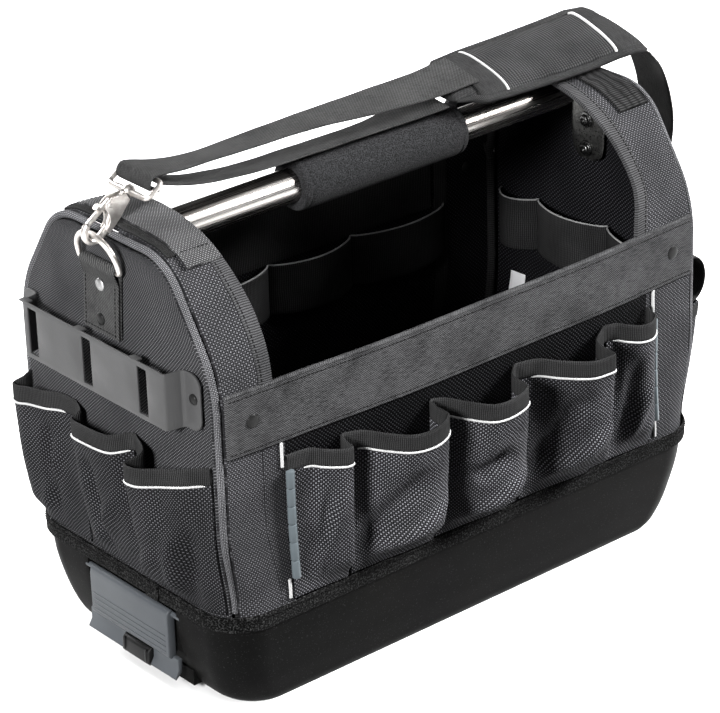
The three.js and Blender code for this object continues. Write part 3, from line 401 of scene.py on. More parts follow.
def hood_point(end, y, z, x):
    """Outer face of a hood at a station of the arch, x being the distance from the middle."""
    y, z, x = np.broadcast_arrays(y, z, x)
    s = x / ARCH_X
    at_free_edge = 1.0 - (HOOD_FREE_X[end] / ARCH_X) ** 2
    share = (1.0 - s * s) / at_free_edge
    half_width = ARCH_SIDE_Y + FRONT_BOW * at_free_edge
    rise = np.maximum(z - HOOD_CROWN_Z, 0.0)
    to_ellipse = 1.0 / np.maximum(np.hypot(y / half_width, rise / HOOD_CROWN_RISE), 1e-6)
    grow = lerp(1.0, to_ellipse, share)
    crown = np.stack([x, y * grow, HOOD_CROWN_Z + rise * grow], axis=-1)
    k = tuck(z)
    tray_y = tray_reach(s * CORNER_END, TRAY_LENGTH, TRAY_WIDTH)
    side_y = np.sign(y) * lerp(lerp(np.abs(y), half_width, share), tray_y, k)
    side = np.stack([lerp(x, s * CORNER_END, k), side_y, z], axis=-1)
    return np.where((z > HOOD_CROWN_Z)[..., None], crown, side)


def free_edge_x(end, z):
    return HOOD_FREE_X[end] - HOOD_FLARE[end] * (1.0 - smoothstep(z, PANEL_TOP_Z, HOOD_FLARE_TO_Z))


def arch_line(low_z, step=3.0):
    """Places (y, z) up the front of the arch, over its top and down the back."""
    front = [(-float(arch_half_width(np.array(low_z), 0.0)), low_z)]
    for centre, radius, start, turn in (
        (SHOULDER_CENTRE, ARCH_SHOULDER_R, 0.0, SHOULDER_TURN),
        (TOP_CENTRE, ARCH_TOP_R, SHOULDER_TURN, TOP_TURN),
    ):
        for angle in np.linspace(start, start + turn, 24):
            place = (-(centre[0] + radius * math.cos(angle)), centre[1] + radius * math.sin(angle))
            if place[1] > front[-1][1]:
                front.append(place)
    front = np.array(front)
    back = front[::-1] * (-1.0, 1.0)
    return resample(np.vstack([front, back]), step)


def on_front(x, z, off):
    return stacked(x, -wall_reach(x, z) - off, z)


def on_left_end(y, z, off):
    return stacked(-end_reach(y, z) - off, y, z)


def on_right_end(y, z, off):
    return stacked(end_reach(y, z) + off, y, z)


def inside_back(x, z, off):
    return on_front(x, z, -off) * TO_BACK


def inside_right(y, z, off):
    return on_right_end(y, z, -off)


WALL_STEP = 3.0


def wall_grid(from_x, to_x, low_z, high_z):
    columns = max(int((to_x - from_x) / WALL_STEP), 2) + 1
    rows = max(int((high_z - low_z) / WALL_STEP), 2) + 1
    along = np.linspace(from_x, to_x, columns)[None, :]
    z = np.linspace(low_z, high_z, rows)[:, None]
    return on_front(lerp(along, along / ARCH_X * CORNER_END, tuck(z)), z, 0.0)


HALF_TURN = np.array([-1.0, -1.0, 1.0])
TO_BACK = np.array([1.0, -1.0, 1.0])
FRONT_OUT = np.array([0.0, -1.0, 0.0])
RIGHT_OUT = np.array([1.0, 0.0, 0.0])
LEFT_OUT = np.array([-1.0, 0.0, 0.0])
UP_OUT = np.array([0.0, 0.0, 1.0])
AXIS_Y = np.array([0.0, 1.0, 0.0])


# Raw meshes: places, faces and thread coordinates

def join_raw(parts):
    verts, faces, uvs, start = [], [], [], 0
    for part in parts:
        verts.append(part.verts)
        uvs.append(part.uvs)
        faces.extend([tuple(i + start for i in face) for face in part.faces])
        start += len(part.verts)
    return Raw(np.vstack(verts), faces, np.vstack(uvs))


def turned(part, turn):
    return Raw(part.verts * turn, part.faces, part.uvs)


def placed(part, hook):
    """A part of a snap hook carried from the hook's own frame to the bag's."""
    angle = math.radians(hook.angle)
    cos, sin = math.cos(angle), math.sin(angle)
    x, y, z = part.verts.T
    return Raw(stacked(hook.x + x * cos - z * sin, y, hook.z + x * sin + z * cos), part.faces, part.uvs)


def grid_quads(rows, cols, start, flip):
    faces = []
    for r in range(rows - 1):
        for c in range(cols - 1):
            a = start + r * cols + c
            quad = (a, a + 1, a + cols + 1, a + cols)
            faces.append(quad[::-1] if flip else quad)
    return faces


def tube_faces(count, size, closed=False):
    """Faces round a run of rings, with a face at each end unless the run closes on itself."""
    faces = []
    for r in range(count if closed else count - 1):
        here = r * size
        there = (r + 1) % count * size
        for i in range(size):
            j = (i + 1) % size
            faces.append((here + i, here + j, there + j, there + i))
    if not closed:
        faces.append(tuple(range(size))[::-1])
        faces.append(tuple(range((count - 1) * size, count * size)))
    return faces


def grid_normals(grid, outside):
    normals = unit(np.cross(np.gradient(grid, axis=1), np.gradient(grid, axis=0)))
    facing = np.sign(normals @ outside).sum()
    return -normals if facing < 0 else normals


def grid_lengths(grid, axis):
    """Distances along one direction of a grid, averaged over the other."""
    steps = np.linalg.norm(np.diff(grid, axis=axis), axis=2).mean(axis=1 - axis)
    return np.concatenate([[0.0], np.cumsum(steps)])


def sheet_raw(grid, outer, inner, outside, rim=0.4, swap=False):
    """Cloth: a grid of places made outer thick outwards and inner thick inwards, with a rounded rim."""
    rows, cols = grid.shape[:2]
    normals = grid_normals(grid, outside)
    front = grid + normals * outer
    back = grid - normals * inner
    lengths = np.meshgrid(grid_lengths(grid, 1), grid_lengths(grid, 0))
    uv = np.stack(lengths, axis=-1).reshape(-1, 2)
    if swap:
        uv = uv[:, ::-1]
    loop = [(0, c) for c in range(cols)]
    loop += [(r, cols - 1) for r in range(1, rows)]
    loop += [(rows - 1, c) for c in range(cols - 2, -1, -1)]
    loop += [(r, 0) for r in range(rows - 2, 0, -1)]
    away = np.zeros_like(grid)
    away[0] += unit(grid[0] - grid[1])
    away[-1] += unit(grid[-1] - grid[-2])
    away[:, 0] += unit(grid[:, 0] - grid[:, 1])
    away[:, -1] += unit(grid[:, -1] - grid[:, -2])
    away = unit(away)
    thickness = outer + inner
    middle = (front + back) / 2 + away * thickness * rim
    edge = np.array([middle[r, c] for r, c in loop])
    count = rows * cols
    faces = grid_quads(rows, cols, 0, False) + grid_quads(rows, cols, count, True)
    for i, (r, c) in enumerate(loop):
        r2, c2 = loop[(i + 1) % len(loop)]
        a, b = r * cols + c, r2 * cols + c2
        m, n = 2 * count + i, 2 * count + (i + 1) % len(loop)
        faces.append((b, a, m, n))
        faces.append((n, m, count + a, count + b))
    verts = np.vstack([front.reshape(-1, 3), back.reshape(-1, 3), edge])
    rim_uv = np.array([uv[r * cols + c] for r, c in loop])
    return Raw(verts, faces, np.vstack([uv, uv, rim_uv]))


def sweep_raw(path, sections, across, closed=False):
    """One section, or one per point, of (across, through) pairs carried along a path."""
    path = np.asarray(path, float)
    count = len(path)
    sections = np.asarray(sections, float)
    if sections.ndim == 2:
        sections = np.broadcast_to(sections, (count, *sections.shape))
    tangents = np.roll(path, -1, 0) - np.roll(path, 1, 0) if closed else np.gradient(path, axis=0)
    across = np.broadcast_to(np.asarray(across, float), path.shape)
    through = unit(np.cross(unit(tangents), across))
    verts = path[:, None] + across[:, None] * sections[..., :1] + through[:, None] * sections[..., 1:]
    around = arc_lengths(sections[count // 2])
    uv = np.stack(np.meshgrid(around, arc_lengths(path)), axis=-1).reshape(-1, 2)[:, ::-1]
    return Raw(verts.reshape(-1, 3), tube_faces(count, sections.shape[1], closed), uv)


def round_section(half_across, half_through, sides):
    angle = np.linspace(0, 2 * math.pi, sides, endpoint=False)
    return np.stack([half_across * np.cos(angle), half_through * np.sin(angle)], axis=1)


def cord_raw(path, radius, sides, across, closed=False):
    return sweep_raw(path, round_section(radius, radius, sides), across, closed)


STRIP_EDGE_TURNS = (-0.8, 0.0, 0.8)


def strip_section(half_across, half_through, columns):
    """A flat strip with rounded edges."""
    flat = np.linspace(-half_across + half_through, half_across - half_through, columns)
    lower = [(u, -half_through) for u in flat]
    right = []
    for angle in STRIP_EDGE_TURNS:
        right.append((half_across - half_through * (1 - math.cos(angle)), half_through * math.sin(angle)))
    upper = [(u, half_through) for u in flat[::-1]]
    left = [(-u, v) for u, v in right[::-1]]
    return np.array(lower + right + upper + left)


OFF_AXIS = (0.3, 0.9, 0.31)  # any direction that no lathe axis has
ON_AXIS = 1e-6


def lathe_raw(profile, origin, axis, segments):
    """(radius, along) pairs turned about an axis.

    The profile starts and ends on the axis or closes on itself.
    """
    axis = unit(np.asarray(axis, float))
    side = unit(np.cross(axis, OFF_AXIS))
    other = np.cross(axis, side)
    verts, rings, faces = [], [], []
    for radius, along in profile:
        base = np.asarray(origin, float) + axis * along
        start = len(verts)
        if radius < ON_AXIS:
            verts.append(base)
            rings.append([start])
            continue
        for k in range(segments):
            angle = 2 * math.pi * k / segments
            verts.append(base + radius * (side * math.cos(angle) + other * math.sin(angle)))
        rings.append(list(range(start, start + segments)))
    pairs = list(zip(rings, rings[1:]))
    if len(rings[0]) > 1:
        pairs.append((rings[-1], rings[0]))
    for lower, upper in pairs:
        for k in range(segments):
            j = (k + 1) % segments
            if len(lower) == 1:
                faces.append((lower[0], upper[j], upper[k]))
            elif len(upper) == 1:
                faces.append((lower[k], lower[j], upper[0]))
            else:
                faces.append((lower[k], lower[j], upper[j], upper[k]))
    verts = np.array(verts)
    return Raw(verts, faces, verts[:, :2])


def prism_raw(outline, y0, y1):
    """An outline in X and Z pushed out along Y."""
    count = len(outline)
    verts = [(x, y0, z) for x, z in outline] + [(x, y1, z) for x, z in outline]
    faces = [tuple(range(count)), tuple(range(2 * count - 1, count - 1, -1))]
    for i in range(count):
        j = (i + 1) % count
        faces.append((i, j, count + j, count + i))
    verts = np.array(verts, float)
    return Raw(verts, faces, verts[:, 1:])


def box_raw(x0, x1, y0, y1, z0, z1):
    return prism_raw([(x0, z0), (x1, z0), (x1, z1), (x0, z1)], y0, y1)


def loft_raw(rings):
    rings = np.asarray(rings, float)
    verts = rings.reshape(-1, 3)
    return Raw(verts, tube_faces(*rings.shape[:2]), verts[:, :2])


RIVET_SUNK = 0.6  # how far a rivet's head reaches into what it holds
RIVET_RIM = 0.1
RIVET_DOME = 0.2  # where its dome starts


def rivet_raw(place, outward, radius, height):
    profile = [(0.0, -RIVET_SUNK), (radius, -RIVET_SUNK), (radius, RIVET_RIM)]
    for angle in np.linspace(0.15, math.pi / 2, 7):
        profile.append((radius * math.cos(angle), RIVET_DOME + height * math.sin(angle)))
    profile[-1] = (0.0, RIVET_DOME + height)
    return lathe_raw(profile, place, outward, 28)


STITCH_RINGS = ((-0.5, 0.35), (-0.28, 0.9), (0.28, 0.9), (0.5, 0.35))  # shares of length and radius
STITCH_SIDES = 6
THREAD_OFF = 0.1  # how far a thread's middle lies above what it is sewn to


def stitches_raw(path, outward, pitch=3.4, length=2.5, radius=0.38):
    """Threads laid end to end along a path."""
    outward = np.broadcast_to(np.asarray(outward, float), path.shape)
    rows = resample(np.hstack([path, outward]), pitch)
    path, outward = rows[:, :3], rows[:, 3:]
    tangents = unit(np.gradient(path, axis=0))
    circle = round_section(1.0, 1.0, STITCH_SIDES)
    parts = []
    for point, tangent, out in zip(path, tangents, outward):
        side = unit(np.cross(tangent, out))
        up = np.cross(side, tangent)
        around = circle[:, :1] * side + circle[:, 1:] * up
        rings = [point + tangent * (f * length) + radius * k * around for f, k in STITCH_RINGS]
        parts.append(loft_raw(rings))
    return join_raw(parts)


# Objects

def apply_modifiers(obj):
    depsgraph = bpy.context.evaluated_depsgraph_get()
    shown = obj.evaluated_get(depsgraph)
    mesh = bpy.data.meshes.new_from_object(shown, preserve_all_data_layers=True, depsgraph=depsgraph)
    obj.modifiers.clear()
    obj.data = mesh


def linked(name, data):
    """A new object in the scene."""
    obj = bpy.data.objects.new(name, data)
    bpy.context.scene.collection.objects.link(obj)
    return obj


def vertex_places(obj):
    return np.array([vertex.co for vertex in obj.data.vertices])


def write_weave(mesh, coordinates):
    """Gives a mesh its thread coordinates, a pair for each vertex."""
    layer = mesh.uv_layers.get("weave") or mesh.uv_layers.new(name="weave")
    owners = np.zeros(len(mesh.loops), np.int32)
    mesh.loops.foreach_get("vertex_index", owners)
    layer.data.foreach_set("uv", coordinates[owners].astype(np.float32).ravel())


def add_materials(obj, *materials):
    for material in materials:
        obj.data.materials.append(material)


def plain_object(name, parts):
    raw = join_raw(parts if isinstance(parts, list) else [parts])
    mesh = bpy.data.meshes.new(name)
    mesh.from_pydata((raw.verts * MM).tolist(), [], raw.faces)
    write_weave(mesh, raw.uvs * MM)
    bm = bmesh.new()
    bm.from_mesh(mesh)
    bmesh.ops.recalc_face_normals(bm, faces=bm.faces)
    bm.to_mesh(mesh)
    bm.free()
    return linked(name, mesh)


def bevelled(name, parts, width, segments=3):
    obj = plain_object(name, parts)
    add_bevel(obj, width, segments)
    apply_modifiers(obj)
    return obj


SMOOTH_ANGLE = 38.0


def finish_piece(obj, material, replaces=(), body="bag", smooth=SMOOTH_ANGLE):
    mesh = obj.data
    mesh.shade_smooth()
    mesh.set_sharp_from_angle(angle=math.radians(smooth))
    if not mesh.materials:
        mesh.materials.append(material)
    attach(obj, body)
    if replaces:
        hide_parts(*replaces)
    return obj


def make(name, parts, material, replaces=(), smooth=SMOOTH_ANGLE):
    return finish_piece(plain_object(name, parts), material, replaces, smooth=smooth)


def make_fine(stem, parts, material, end="", smooth=SMOOTH_ANGLE):
    """The finer piece that takes the place of a solid."""
    tail = "_" + end if end else ""
    return make(stem + "_fine" + tail, parts, material, [stem + tail], smooth)


# Faces turned this far inwards get the painted shade of the bag's inside
INSIDE_SHADE_FACING = 0.25


def shade_inside_faces(obj):
    """Gives the faces of a wall that look into the bag a darker cloth: painted shade inside the bag."""
    add_materials(obj, INSIDE_SHADE_LOOK)
    for face in obj.data.polygons:
        inwards = (BAG_MIDDLE - face.center).normalized()
        if face.normal.dot(inwards) > INSIDE_SHADE_FACING:
            face.material_index = 1


BEVEL_ANGLE = 32.0


def add_bevel(obj, width, segments=3):
    bevel = obj.modifiers.new("edges", "BEVEL")
    bevel.width = width * MM
    bevel.segments = segments
    bevel.limit_method = "ANGLE"
    bevel.angle_limit = math.radians(BEVEL_ANGLE)
    bevel.harden_normals = False


# Materials

NOISE_LOW = 0.3  # a noise seldom leaves this span
NOISE_HIGH = 0.7
THREAD_WANDER = 0.25  # share of a thread's pitch by which it strays
CLOTH_SHINE = 0.015


def rgb(tone):
    """A colour from one grey, from a grey and its blue, or from red, green and blue."""
    if isinstance(tone, float):
        return (tone, tone, tone)
    return tone if len(tone) == 3 else (tone[0], *tone)


class Shader:
    """A material under construction round its Principled shader."""

    def __init__(self, name, colour, roughness, **sockets):
        self.material = bpy.data.materials.new(name)
        self.material.use_nodes = True
        self.tree = self.material.node_tree
        self.bsdf = self.tree.nodes["Principled BSDF"]
        self.bsdf.inputs["Base Color"].default_value = (*rgb(colour), 1.0)
        self.bsdf.inputs["Roughness"].default_value = roughness
        for socket, value in sockets.items():
            self.bsdf.inputs[socket.replace("_", " ")].default_value = value

    def put(self, socket, value):
        if isinstance(value, bpy.types.NodeSocket):
            self.tree.links.new(value, socket)
        else:
            socket.default_value = value

    def node(self, kind, **values):
        node = self.tree.nodes.new(kind)
        for key, value in values.items():
            self.put(node.inputs[key], value)
        return node

    def math(self, operation, a, b=0.0):
        node = self.tree.nodes.new("ShaderNodeMath")
        node.operation = operation
        self.put(node.inputs[0], a)
        self.put(node.inputs[1], b)
        return node.outputs[0]

    def span(self, value, low, high, to_low, to_high):
        node = self.node("ShaderNodeMapRange")
        for socket, number in zip(node.inputs[:5], (value, low, high, to_low, to_high)):
            self.put(socket, number)
        return node.outputs[0]

    def vary(self, noise, to_low, to_high):
        return self.span(noise, NOISE_LOW, NOISE_HIGH, to_low, to_high)

    def mix(self, factor, a, b):
        node = self.tree.nodes.new("ShaderNodeMix")
        node.data_type = "RGBA"
        self.put(node.inputs[0], factor)
        for socket, value in ((node.inputs[6], a), (node.inputs[7], b)):
            self.put(socket, value if isinstance(value, bpy.types.NodeSocket) else (*rgb(value), 1.0))
        return node.outputs[2]

    def weave(self):
        """The thread coordinates."""
        place = self.node("ShaderNodeUVMap")
        place.uv_map = "weave"
        return place.outputs["UV"]

    def place(self):
        return self.node("ShaderNodeTexCoord").outputs["Object"]

    def drawn(self, vector, share):
        """The same places with their marks drawn out along the first direction."""
        return self.node("ShaderNodeMapping", Vector=vector, Scale=(share, 1.0, 1.0)).outputs[0]

    def noise_at(self, vector, scale, detail):
        return self.node("ShaderNodeTexNoise", Vector=vector, Scale=scale, Detail=detail).outputs["Fac"]

    def noise(self, scale, detail):
        return self.noise_at(self.place(), scale, detail)

    def wave(self, value, pitch):
        return self.math("SINE", self.math("MULTIPLY", value, math.pi / (pitch * MM)))

    def colour(self, value):
        self.put(self.bsdf.inputs["Base Color"], value)

    def roughness(self, value):
        self.put(self.bsdf.inputs["Roughness"], value)

    def bump(self, height, distance):
        node = self.node("ShaderNodeBump", Height=height, Distance=distance * MM, Strength=1.0)
        self.put(self.bsdf.inputs["Normal"], node.outputs["Normal"])

    def threads(self, pitch_u, pitch_v):
        """Waves along the two thread directions, a little uneven, each from -1 to 1."""
        place = self.weave()
        split = self.node("ShaderNodeSeparateXYZ", Vector=place)
        drift = self.noise_at(place, 70.0, 1.0)
        waves = []
        for axis, pitch in (("X", pitch_u), ("Y", pitch_v)):
            stray = THREAD_WANDER * pitch * MM
            along = self.math("ADD", split.outputs[axis], self.vary(drift, -stray, stray))
            waves.append(self.wave(along, pitch))
        return waves


def woven(name, dark, light, pitch, roughness=0.6, other=0.12, sharp=2.2, depth=0.35, uneven=0.35):
    """Coarse plain weave: bright crowns of one thread between darker crowns of the other, their brightness
    painted glints of light on the threads.
    """
    s = Shader(name, light, roughness, Specular_IOR_Level=CLOTH_SHINE)
    u, v = s.threads(pitch, pitch)
    # Painted glints: the crowns of the threads are coloured bright
    product = s.math("MULTIPLY", u, v)
    over = s.math("MAXIMUM", product, 0.0)
    under = s.math("MULTIPLY", s.math("MAXIMUM", s.math("MULTIPLY", product, -1.0), 0.0), other)
    crown = s.math("POWER", s.math("ADD", over, under), sharp)
    wear = s.vary(s.noise(24.0, 3.0), 1.0 - uneven, 1.0 + uneven)
    s.colour(s.mix(s.math("MULTIPLY", crown, wear), dark, light))
    s.bump(s.math("ABSOLUTE", product), depth)
    return s.material


def ribbed(name, dark, light, rib, cross, roughness=0.75, share=0.35, depth=0.3, uneven=0.25):
    """Tape with ribs across it and fine threads along it."""
    s = Shader(name, light, roughness, Specular_IOR_Level=CLOTH_SHINE)
    u, v = s.threads(rib, cross)
    fine = s.span(s.math("ABSOLUTE", v), 0.0, 1.0, 1.0 - share, 1.0)
    crown = s.math("MULTIPLY", s.math("ABSOLUTE", u), fine)
    wear = s.vary(s.noise(30.0, 3.0), 1.0 - uneven, 1.0 + uneven)
    fuzz = s.vary(s.noise(1500.0, 2.0), 0.8, 1.2)
    s.colour(s.mix(s.math("MULTIPLY", crown, s.math("MULTIPLY", wear, fuzz)), dark, light))
    s.bump(crown, depth)
    return s.material


TWILL_CROSS = 1.1  # pitch of the threads across the slanting ribs
TWILL_DRAWN = 0.12


def twill(name, dark, light, pitch, roughness=0.7, depth=0.25, uneven=0.25):
    """Strap webbing with fine slanting ribs."""
    s = Shader(name, light, roughness, Specular_IOR_Level=CLOTH_SHINE)
    place = s.weave()
    split = s.node("ShaderNodeSeparateXYZ", Vector=place)
    slant = s.math("ADD", split.outputs["X"], s.math("ABSOLUTE", split.outputs["Y"]))
    line = s.math("ABSOLUTE", s.wave(slant, pitch))
    length = s.math("ABSOLUTE", s.wave(split.outputs["Y"], TWILL_CROSS))
    crown = s.math("MULTIPLY", line, s.span(length, 0.0, 1.0, 0.5, 1.0))
    wear = s.vary(s.noise(35.0, 3.0), 1.0 - uneven, 1.0 + uneven)
    yarn = s.noise_at(s.drawn(place, TWILL_DRAWN), 1300.0, 2.0)
    fuzz = s.vary(yarn, 1.0 - 1.6 * uneven, 1.0 + 1.6 * uneven)
    s.colour(s.mix(s.math("MULTIPLY", crown, s.math("MULTIPLY", wear, fuzz)), dark, light))
    s.bump(crown, depth)
    return s.material


GRAIN_SCALE = 1700.0
DUST = 0.2  # grey of the dust


def moulded(name, dark, light, roughness, grain=0.04, level=0.5, dust=0.0):
    """Moulded plastic with a fine spark-eroded grain, slight handling marks and dust in the grain."""
    s = Shader(name, dark, roughness, Specular_IOR_Level=level)
    base = s.mix(s.span(s.noise(16.0, 4.0), 0.35, 0.7, 0.0, 1.0), dark, light)
    specks = s.span(s.noise(900.0, 1.0), 0.66, 0.74, 0.0, dust)
    s.colour(s.mix(specks, base, DUST))
    s.roughness(s.vary(s.noise(60.0, 3.0), roughness - 0.025, roughness + 0.035))
    s.bump(s.noise(GRAIN_SCALE, 2.0), grain)
    return s.material


def metal(name, dull, bright, roughness, grain, stretch=1.0):
    """Bare or plated metal, whose marks are drawn out along X."""
    s = Shader(name, bright, roughness, Metallic=1.0)
    drawn = s.drawn(s.place(), 1.0 / stretch)
    marks = s.noise_at(drawn, 900.0, 3.0)
    # Colour streaks; drawn out far along the chrome tube they are painted reflections
    streaks_and_painted_reflections = s.noise_at(drawn, 300.0, 2.0)
    s.colour(s.mix(s.span(streaks_and_painted_reflections, 0.38, 0.62, 0.0, 1.0), dull, bright))
    s.roughness(s.vary(marks, roughness * 0.7, roughness * 1.4))
    s.bump(marks, grain)
    return s.material


def fuzzy(name, dark, light, scale, depth, low=0.42, high=0.68):
    """Hook-and-loop tape and teased edges."""
    s = Shader(name, dark, 0.95, Sheen_Weight=0.02, Sheen_Roughness=0.6, Specular_IOR_Level=0.02)
    loops = s.noise(scale, 4.0)
    s.colour(s.mix(s.span(loops, low, high, 0.0, 1.0), dark, light))
    s.bump(loops, depth)
    return s.material


CLOTH_LOOK = woven("cloth", (0.003, 0.0033), (0.27, 0.292), 1.5, other=0.3, sharp=1.6)
# A darker copy of the front pockets' cloth: painted shade on the pockets of the two ends
SHADED_SIDE_LOOK = woven("side_cloth_painted_shade", (0.004, 0.0043), (0.135, 0.145), 1.5, other=0.3, sharp=1.6)
HOOD_LOOK = woven("hood_cloth", (0.01, 0.0108), (0.18, 0.192), 1.5, other=0.4, sharp=1.6)
# A darker copy of the hood cloth: painted shade on the wall behind the pockets
SHADED_WALL_LOOK = woven("wall_cloth_painted_shade", (0.0012, 0.0013), (0.034, 0.0368), 1.6)
END_LOOK = woven("end_cloth", (0.014, 0.0152), (0.19, 0.198), 1.2, other=0.4)
BAND_LOOK = twill("band", (0.003, 0.0032), (0.086, 0.0885), 1.6, uneven=0.34)
FLAP_LOOK = woven("flap", (0.015, 0.0157), (0.25, 0.255), 1.25, other=0.5, sharp=1.5)
# Ribbed webbing of the right hood flap; its ribs are its own, its darkness beside the left flap is painted
# shade
SHADED_CORD_FLAP_LOOK = ribbed("corded_webbing_painted_shade", 0.003, (0.04, 0.0406), 1.9, 7.0, share=0.8, depth=0.6)
TAPE_LOOK = ribbed("tape", 0.0027, (0.0383, 0.0388), 1.3, 1.4)
BINDING_LOOK = ribbed("binding", (0.005, 0.0053), (0.075, 0.0777), 1.7, 1.2)
STRAP_LOOK = twill("strap", 0.004, 0.06, 1.5)
TAB_LOOK = twill("tab", 0.006, 0.09, 2.4, depth=0.5)
PIPING_LOOK = woven("piping", (0.01, 0.011), (0.3, 0.315), 1.2, other=0.7, sharp=1.4)
INNER_LOOK = ribbed("inner_webbing", 0.0022, (0.0274, 0.0279), 1.6, 1.8)
# A darker copy of the cloth for faces that look into the bag: painted shade inside it
INSIDE_SHADE_LOOK = woven("inside_painted_shade", (0.003, 0.0034), (0.045, 0.05), 1.6)
# Painted highlight along the top edges of the inner loops
EDGE_HIGHLIGHT_LOOK = ribbed("loop_edge_painted_highlight", 0.12, 0.34, 1.0, 1.0)
FUZZ_LOOK = fuzzy("bottom_tape", 0.0012, 0.05, 800.0, 0.6, 0.5, 0.74)
LOOP_LOOK = fuzzy("hook_and_loop", 0.0015, 0.03, 1300.0, 0.8)
WHITE_LOOK = ribbed("reflective_piping", 0.3, 0.6, 1.0, 1.0, roughness=0.45, depth=0.08)
THREAD_LOOK = ribbed("thread", 0.0022, 0.011, 0.6, 0.6)
TRAY_LOOK = moulded("tray", 0.003, (0.0045, 0.0044, 0.0042), 0.42, level=0.015, dust=0.1)
LATCH_LOOK = moulded("latch", (0.0474, 0.0518, 0.0577), (0.0562, 0.0614, 0.0673), 0.42, level=0.2)
TRIGGER_LOOK = moulded("trigger", (0.003, 0.0033), 0.005, 0.42, level=0.15)
CLIP_LOOK = moulded("clip", (0.0402, 0.0408), (0.0476, 0.0484), 0.5, grain=0.06, level=0.2)
STRIP_LOOK = moulded("strip", (0.084, 0.099, 0.108), (0.102, 0.12, 0.1308), 0.4, level=0.1)
# Its colour streaks, drawn out along the tube, are painted reflections
CHROME_LOOK = metal("chrome", (0.17, 0.155, 0.145), (0.4, 0.385, 0.37), 0.25, 0.0015, stretch=80.0)
PLATED_LOOK = metal("plated_steel", (0.4, 0.375, 0.355), (0.46, 0.44, 0.42), 0.42, 0.001)
STEEL_LOOK = metal("flattened_steel", (0.12, 0.116), (0.18, 0.175), 0.34, 0.012, stretch=6.0)
BOLT_LOOK = metal("bolt", 0.08, 0.12, 0.3, 0.006)
RIVET_LOOK = moulded("rivet", 0.008, 0.012, 0.32, level=0.08)
DOME_LOOK = metal("dome", 0.2, 0.27, 0.42, 0.004)
GRIP_LOOK = fuzzy("grip", (0.007, 0.0073), (0.036, 0.038), 1300.0, 0.35)
LABEL_LOOK = ribbed("label", (0.7, 0.72), (0.88, 0.9), 0.9, 0.9, roughness=0.6, depth=0.06)
PAD_LOOK = ribbed("pad_cloth", (0.0015, 0.0016), (0.056, 0.0572), 2.3, 1.5, share=0.6, depth=0.45)
PAD_TRIM_LOOK = twill("pad_trim", 0.003, (0.045, 0.0455), 1.4)
MESH_LOOK = ribbed("pad_mesh", (0.0015, 0.0018), (0.07, 0.075, 0.084), 5.2, 1.6, share=0.2, depth=0.5)


# Tray and latches

TRAY_CORNER_STEPS = 14


def tray_ring(row, inset):
    z, half_length, half_width, corner = row
    ring = []
    for quarter, (sx, sy) in enumerate(((1, 1), (-1, 1), (-1, -1), (1, -1))):
        for i in range(TRAY_CORNER_STEPS + 1):
            angle = math.pi / 2 * (quarter + i / TRAY_CORNER_STEPS)
            x = sx * (half_length - corner) + (corner - inset) * math.cos(angle)
            y = sy * (half_width - corner) + (corner - inset) * math.sin(angle)
            ring.append((x, y, z))
    return ring


def boolean(obj, other, operation):
    cutter = obj.modifiers.new("cut", "BOOLEAN")
    cutter.operation = operation
    cutter.solver = "EXACT"
    cutter.object = other
    apply_modifiers(obj)
    bpy.data.objects.remove(other)


TRAY_FINE_Z = np.concatenate([np.linspace(0, 10, 6), np.linspace(14, 70, 15)])
RECESS_BACK_X = 216.0
RECESS_PAST = 9.0  # how far the cut runs out past the tray
RECESS_Z = (15.0, 66.5)
BOSS_DEPTH = 8.0  # of the wall kept behind a recess
BOSS_MARGIN = 6.0
BOSS_Z = (16.0, TRAY_HEIGHT - 0.01)
FOOT_X = (198.0, 213.0)  # small foot beside each recess
FOOT_Y = (40.0, 57.0)
FOOT_Z = (6.0, 18.0)


def end_block(side, from_x, to_x, y, z):
    """A box at one end of the tray."""
    return plain_object("block", box_raw(*sorted((side * from_x, side * to_x)), *y, *z))


def build_tray():
    rows = spline(np.array(TRAY_ROWS, float), 10, alpha=1.0)
    fine = [[z, *[np.interp(z, rows[:, 0], rows[:, k]) for k in (1, 2, 3)]] for z in TRAY_FINE_Z]
    outer = [tray_ring(row, 0.0) for row in fine]
    inner = [tray_ring(row, TRAY_WALL) for row in fine if row[0] >= TRAY_FLOOR]
    obj = plain_object("base_tray_fine", loft_raw(outer + inner[::-1]))
    wide = LATCH_RECESS + BOSS_MARGIN
    for side in (-1, 1):
        boss = end_block(side, RECESS_BACK_X - BOSS_DEPTH, TRAY_LENGTH, (-wide, wide), BOSS_Z)
        boolean(boss, plain_object("full", loft_raw(outer)), "INTERSECT")
        boolean(obj, boss, "UNION")
        foot = end_block(side, *FOOT_X, sorted(side * y for y in FOOT_Y), FOOT_Z)
        boolean(foot, plain_object("full", loft_raw(outer)), "DIFFERENCE")
        boolean(obj, foot, "UNION")
        recess_y = (-LATCH_RECESS, LATCH_RECESS)
        recess = end_block(side, RECESS_BACK_X, TRAY_LENGTH + RECESS_PAST, recess_y, RECESS_Z)
        boolean(obj, recess, "DIFFERENCE")
    add_bevel(obj, 0.9)
    apply_modifiers(obj)
    finish_piece(obj, TRAY_LOOK, ["base_tray"], smooth=30)


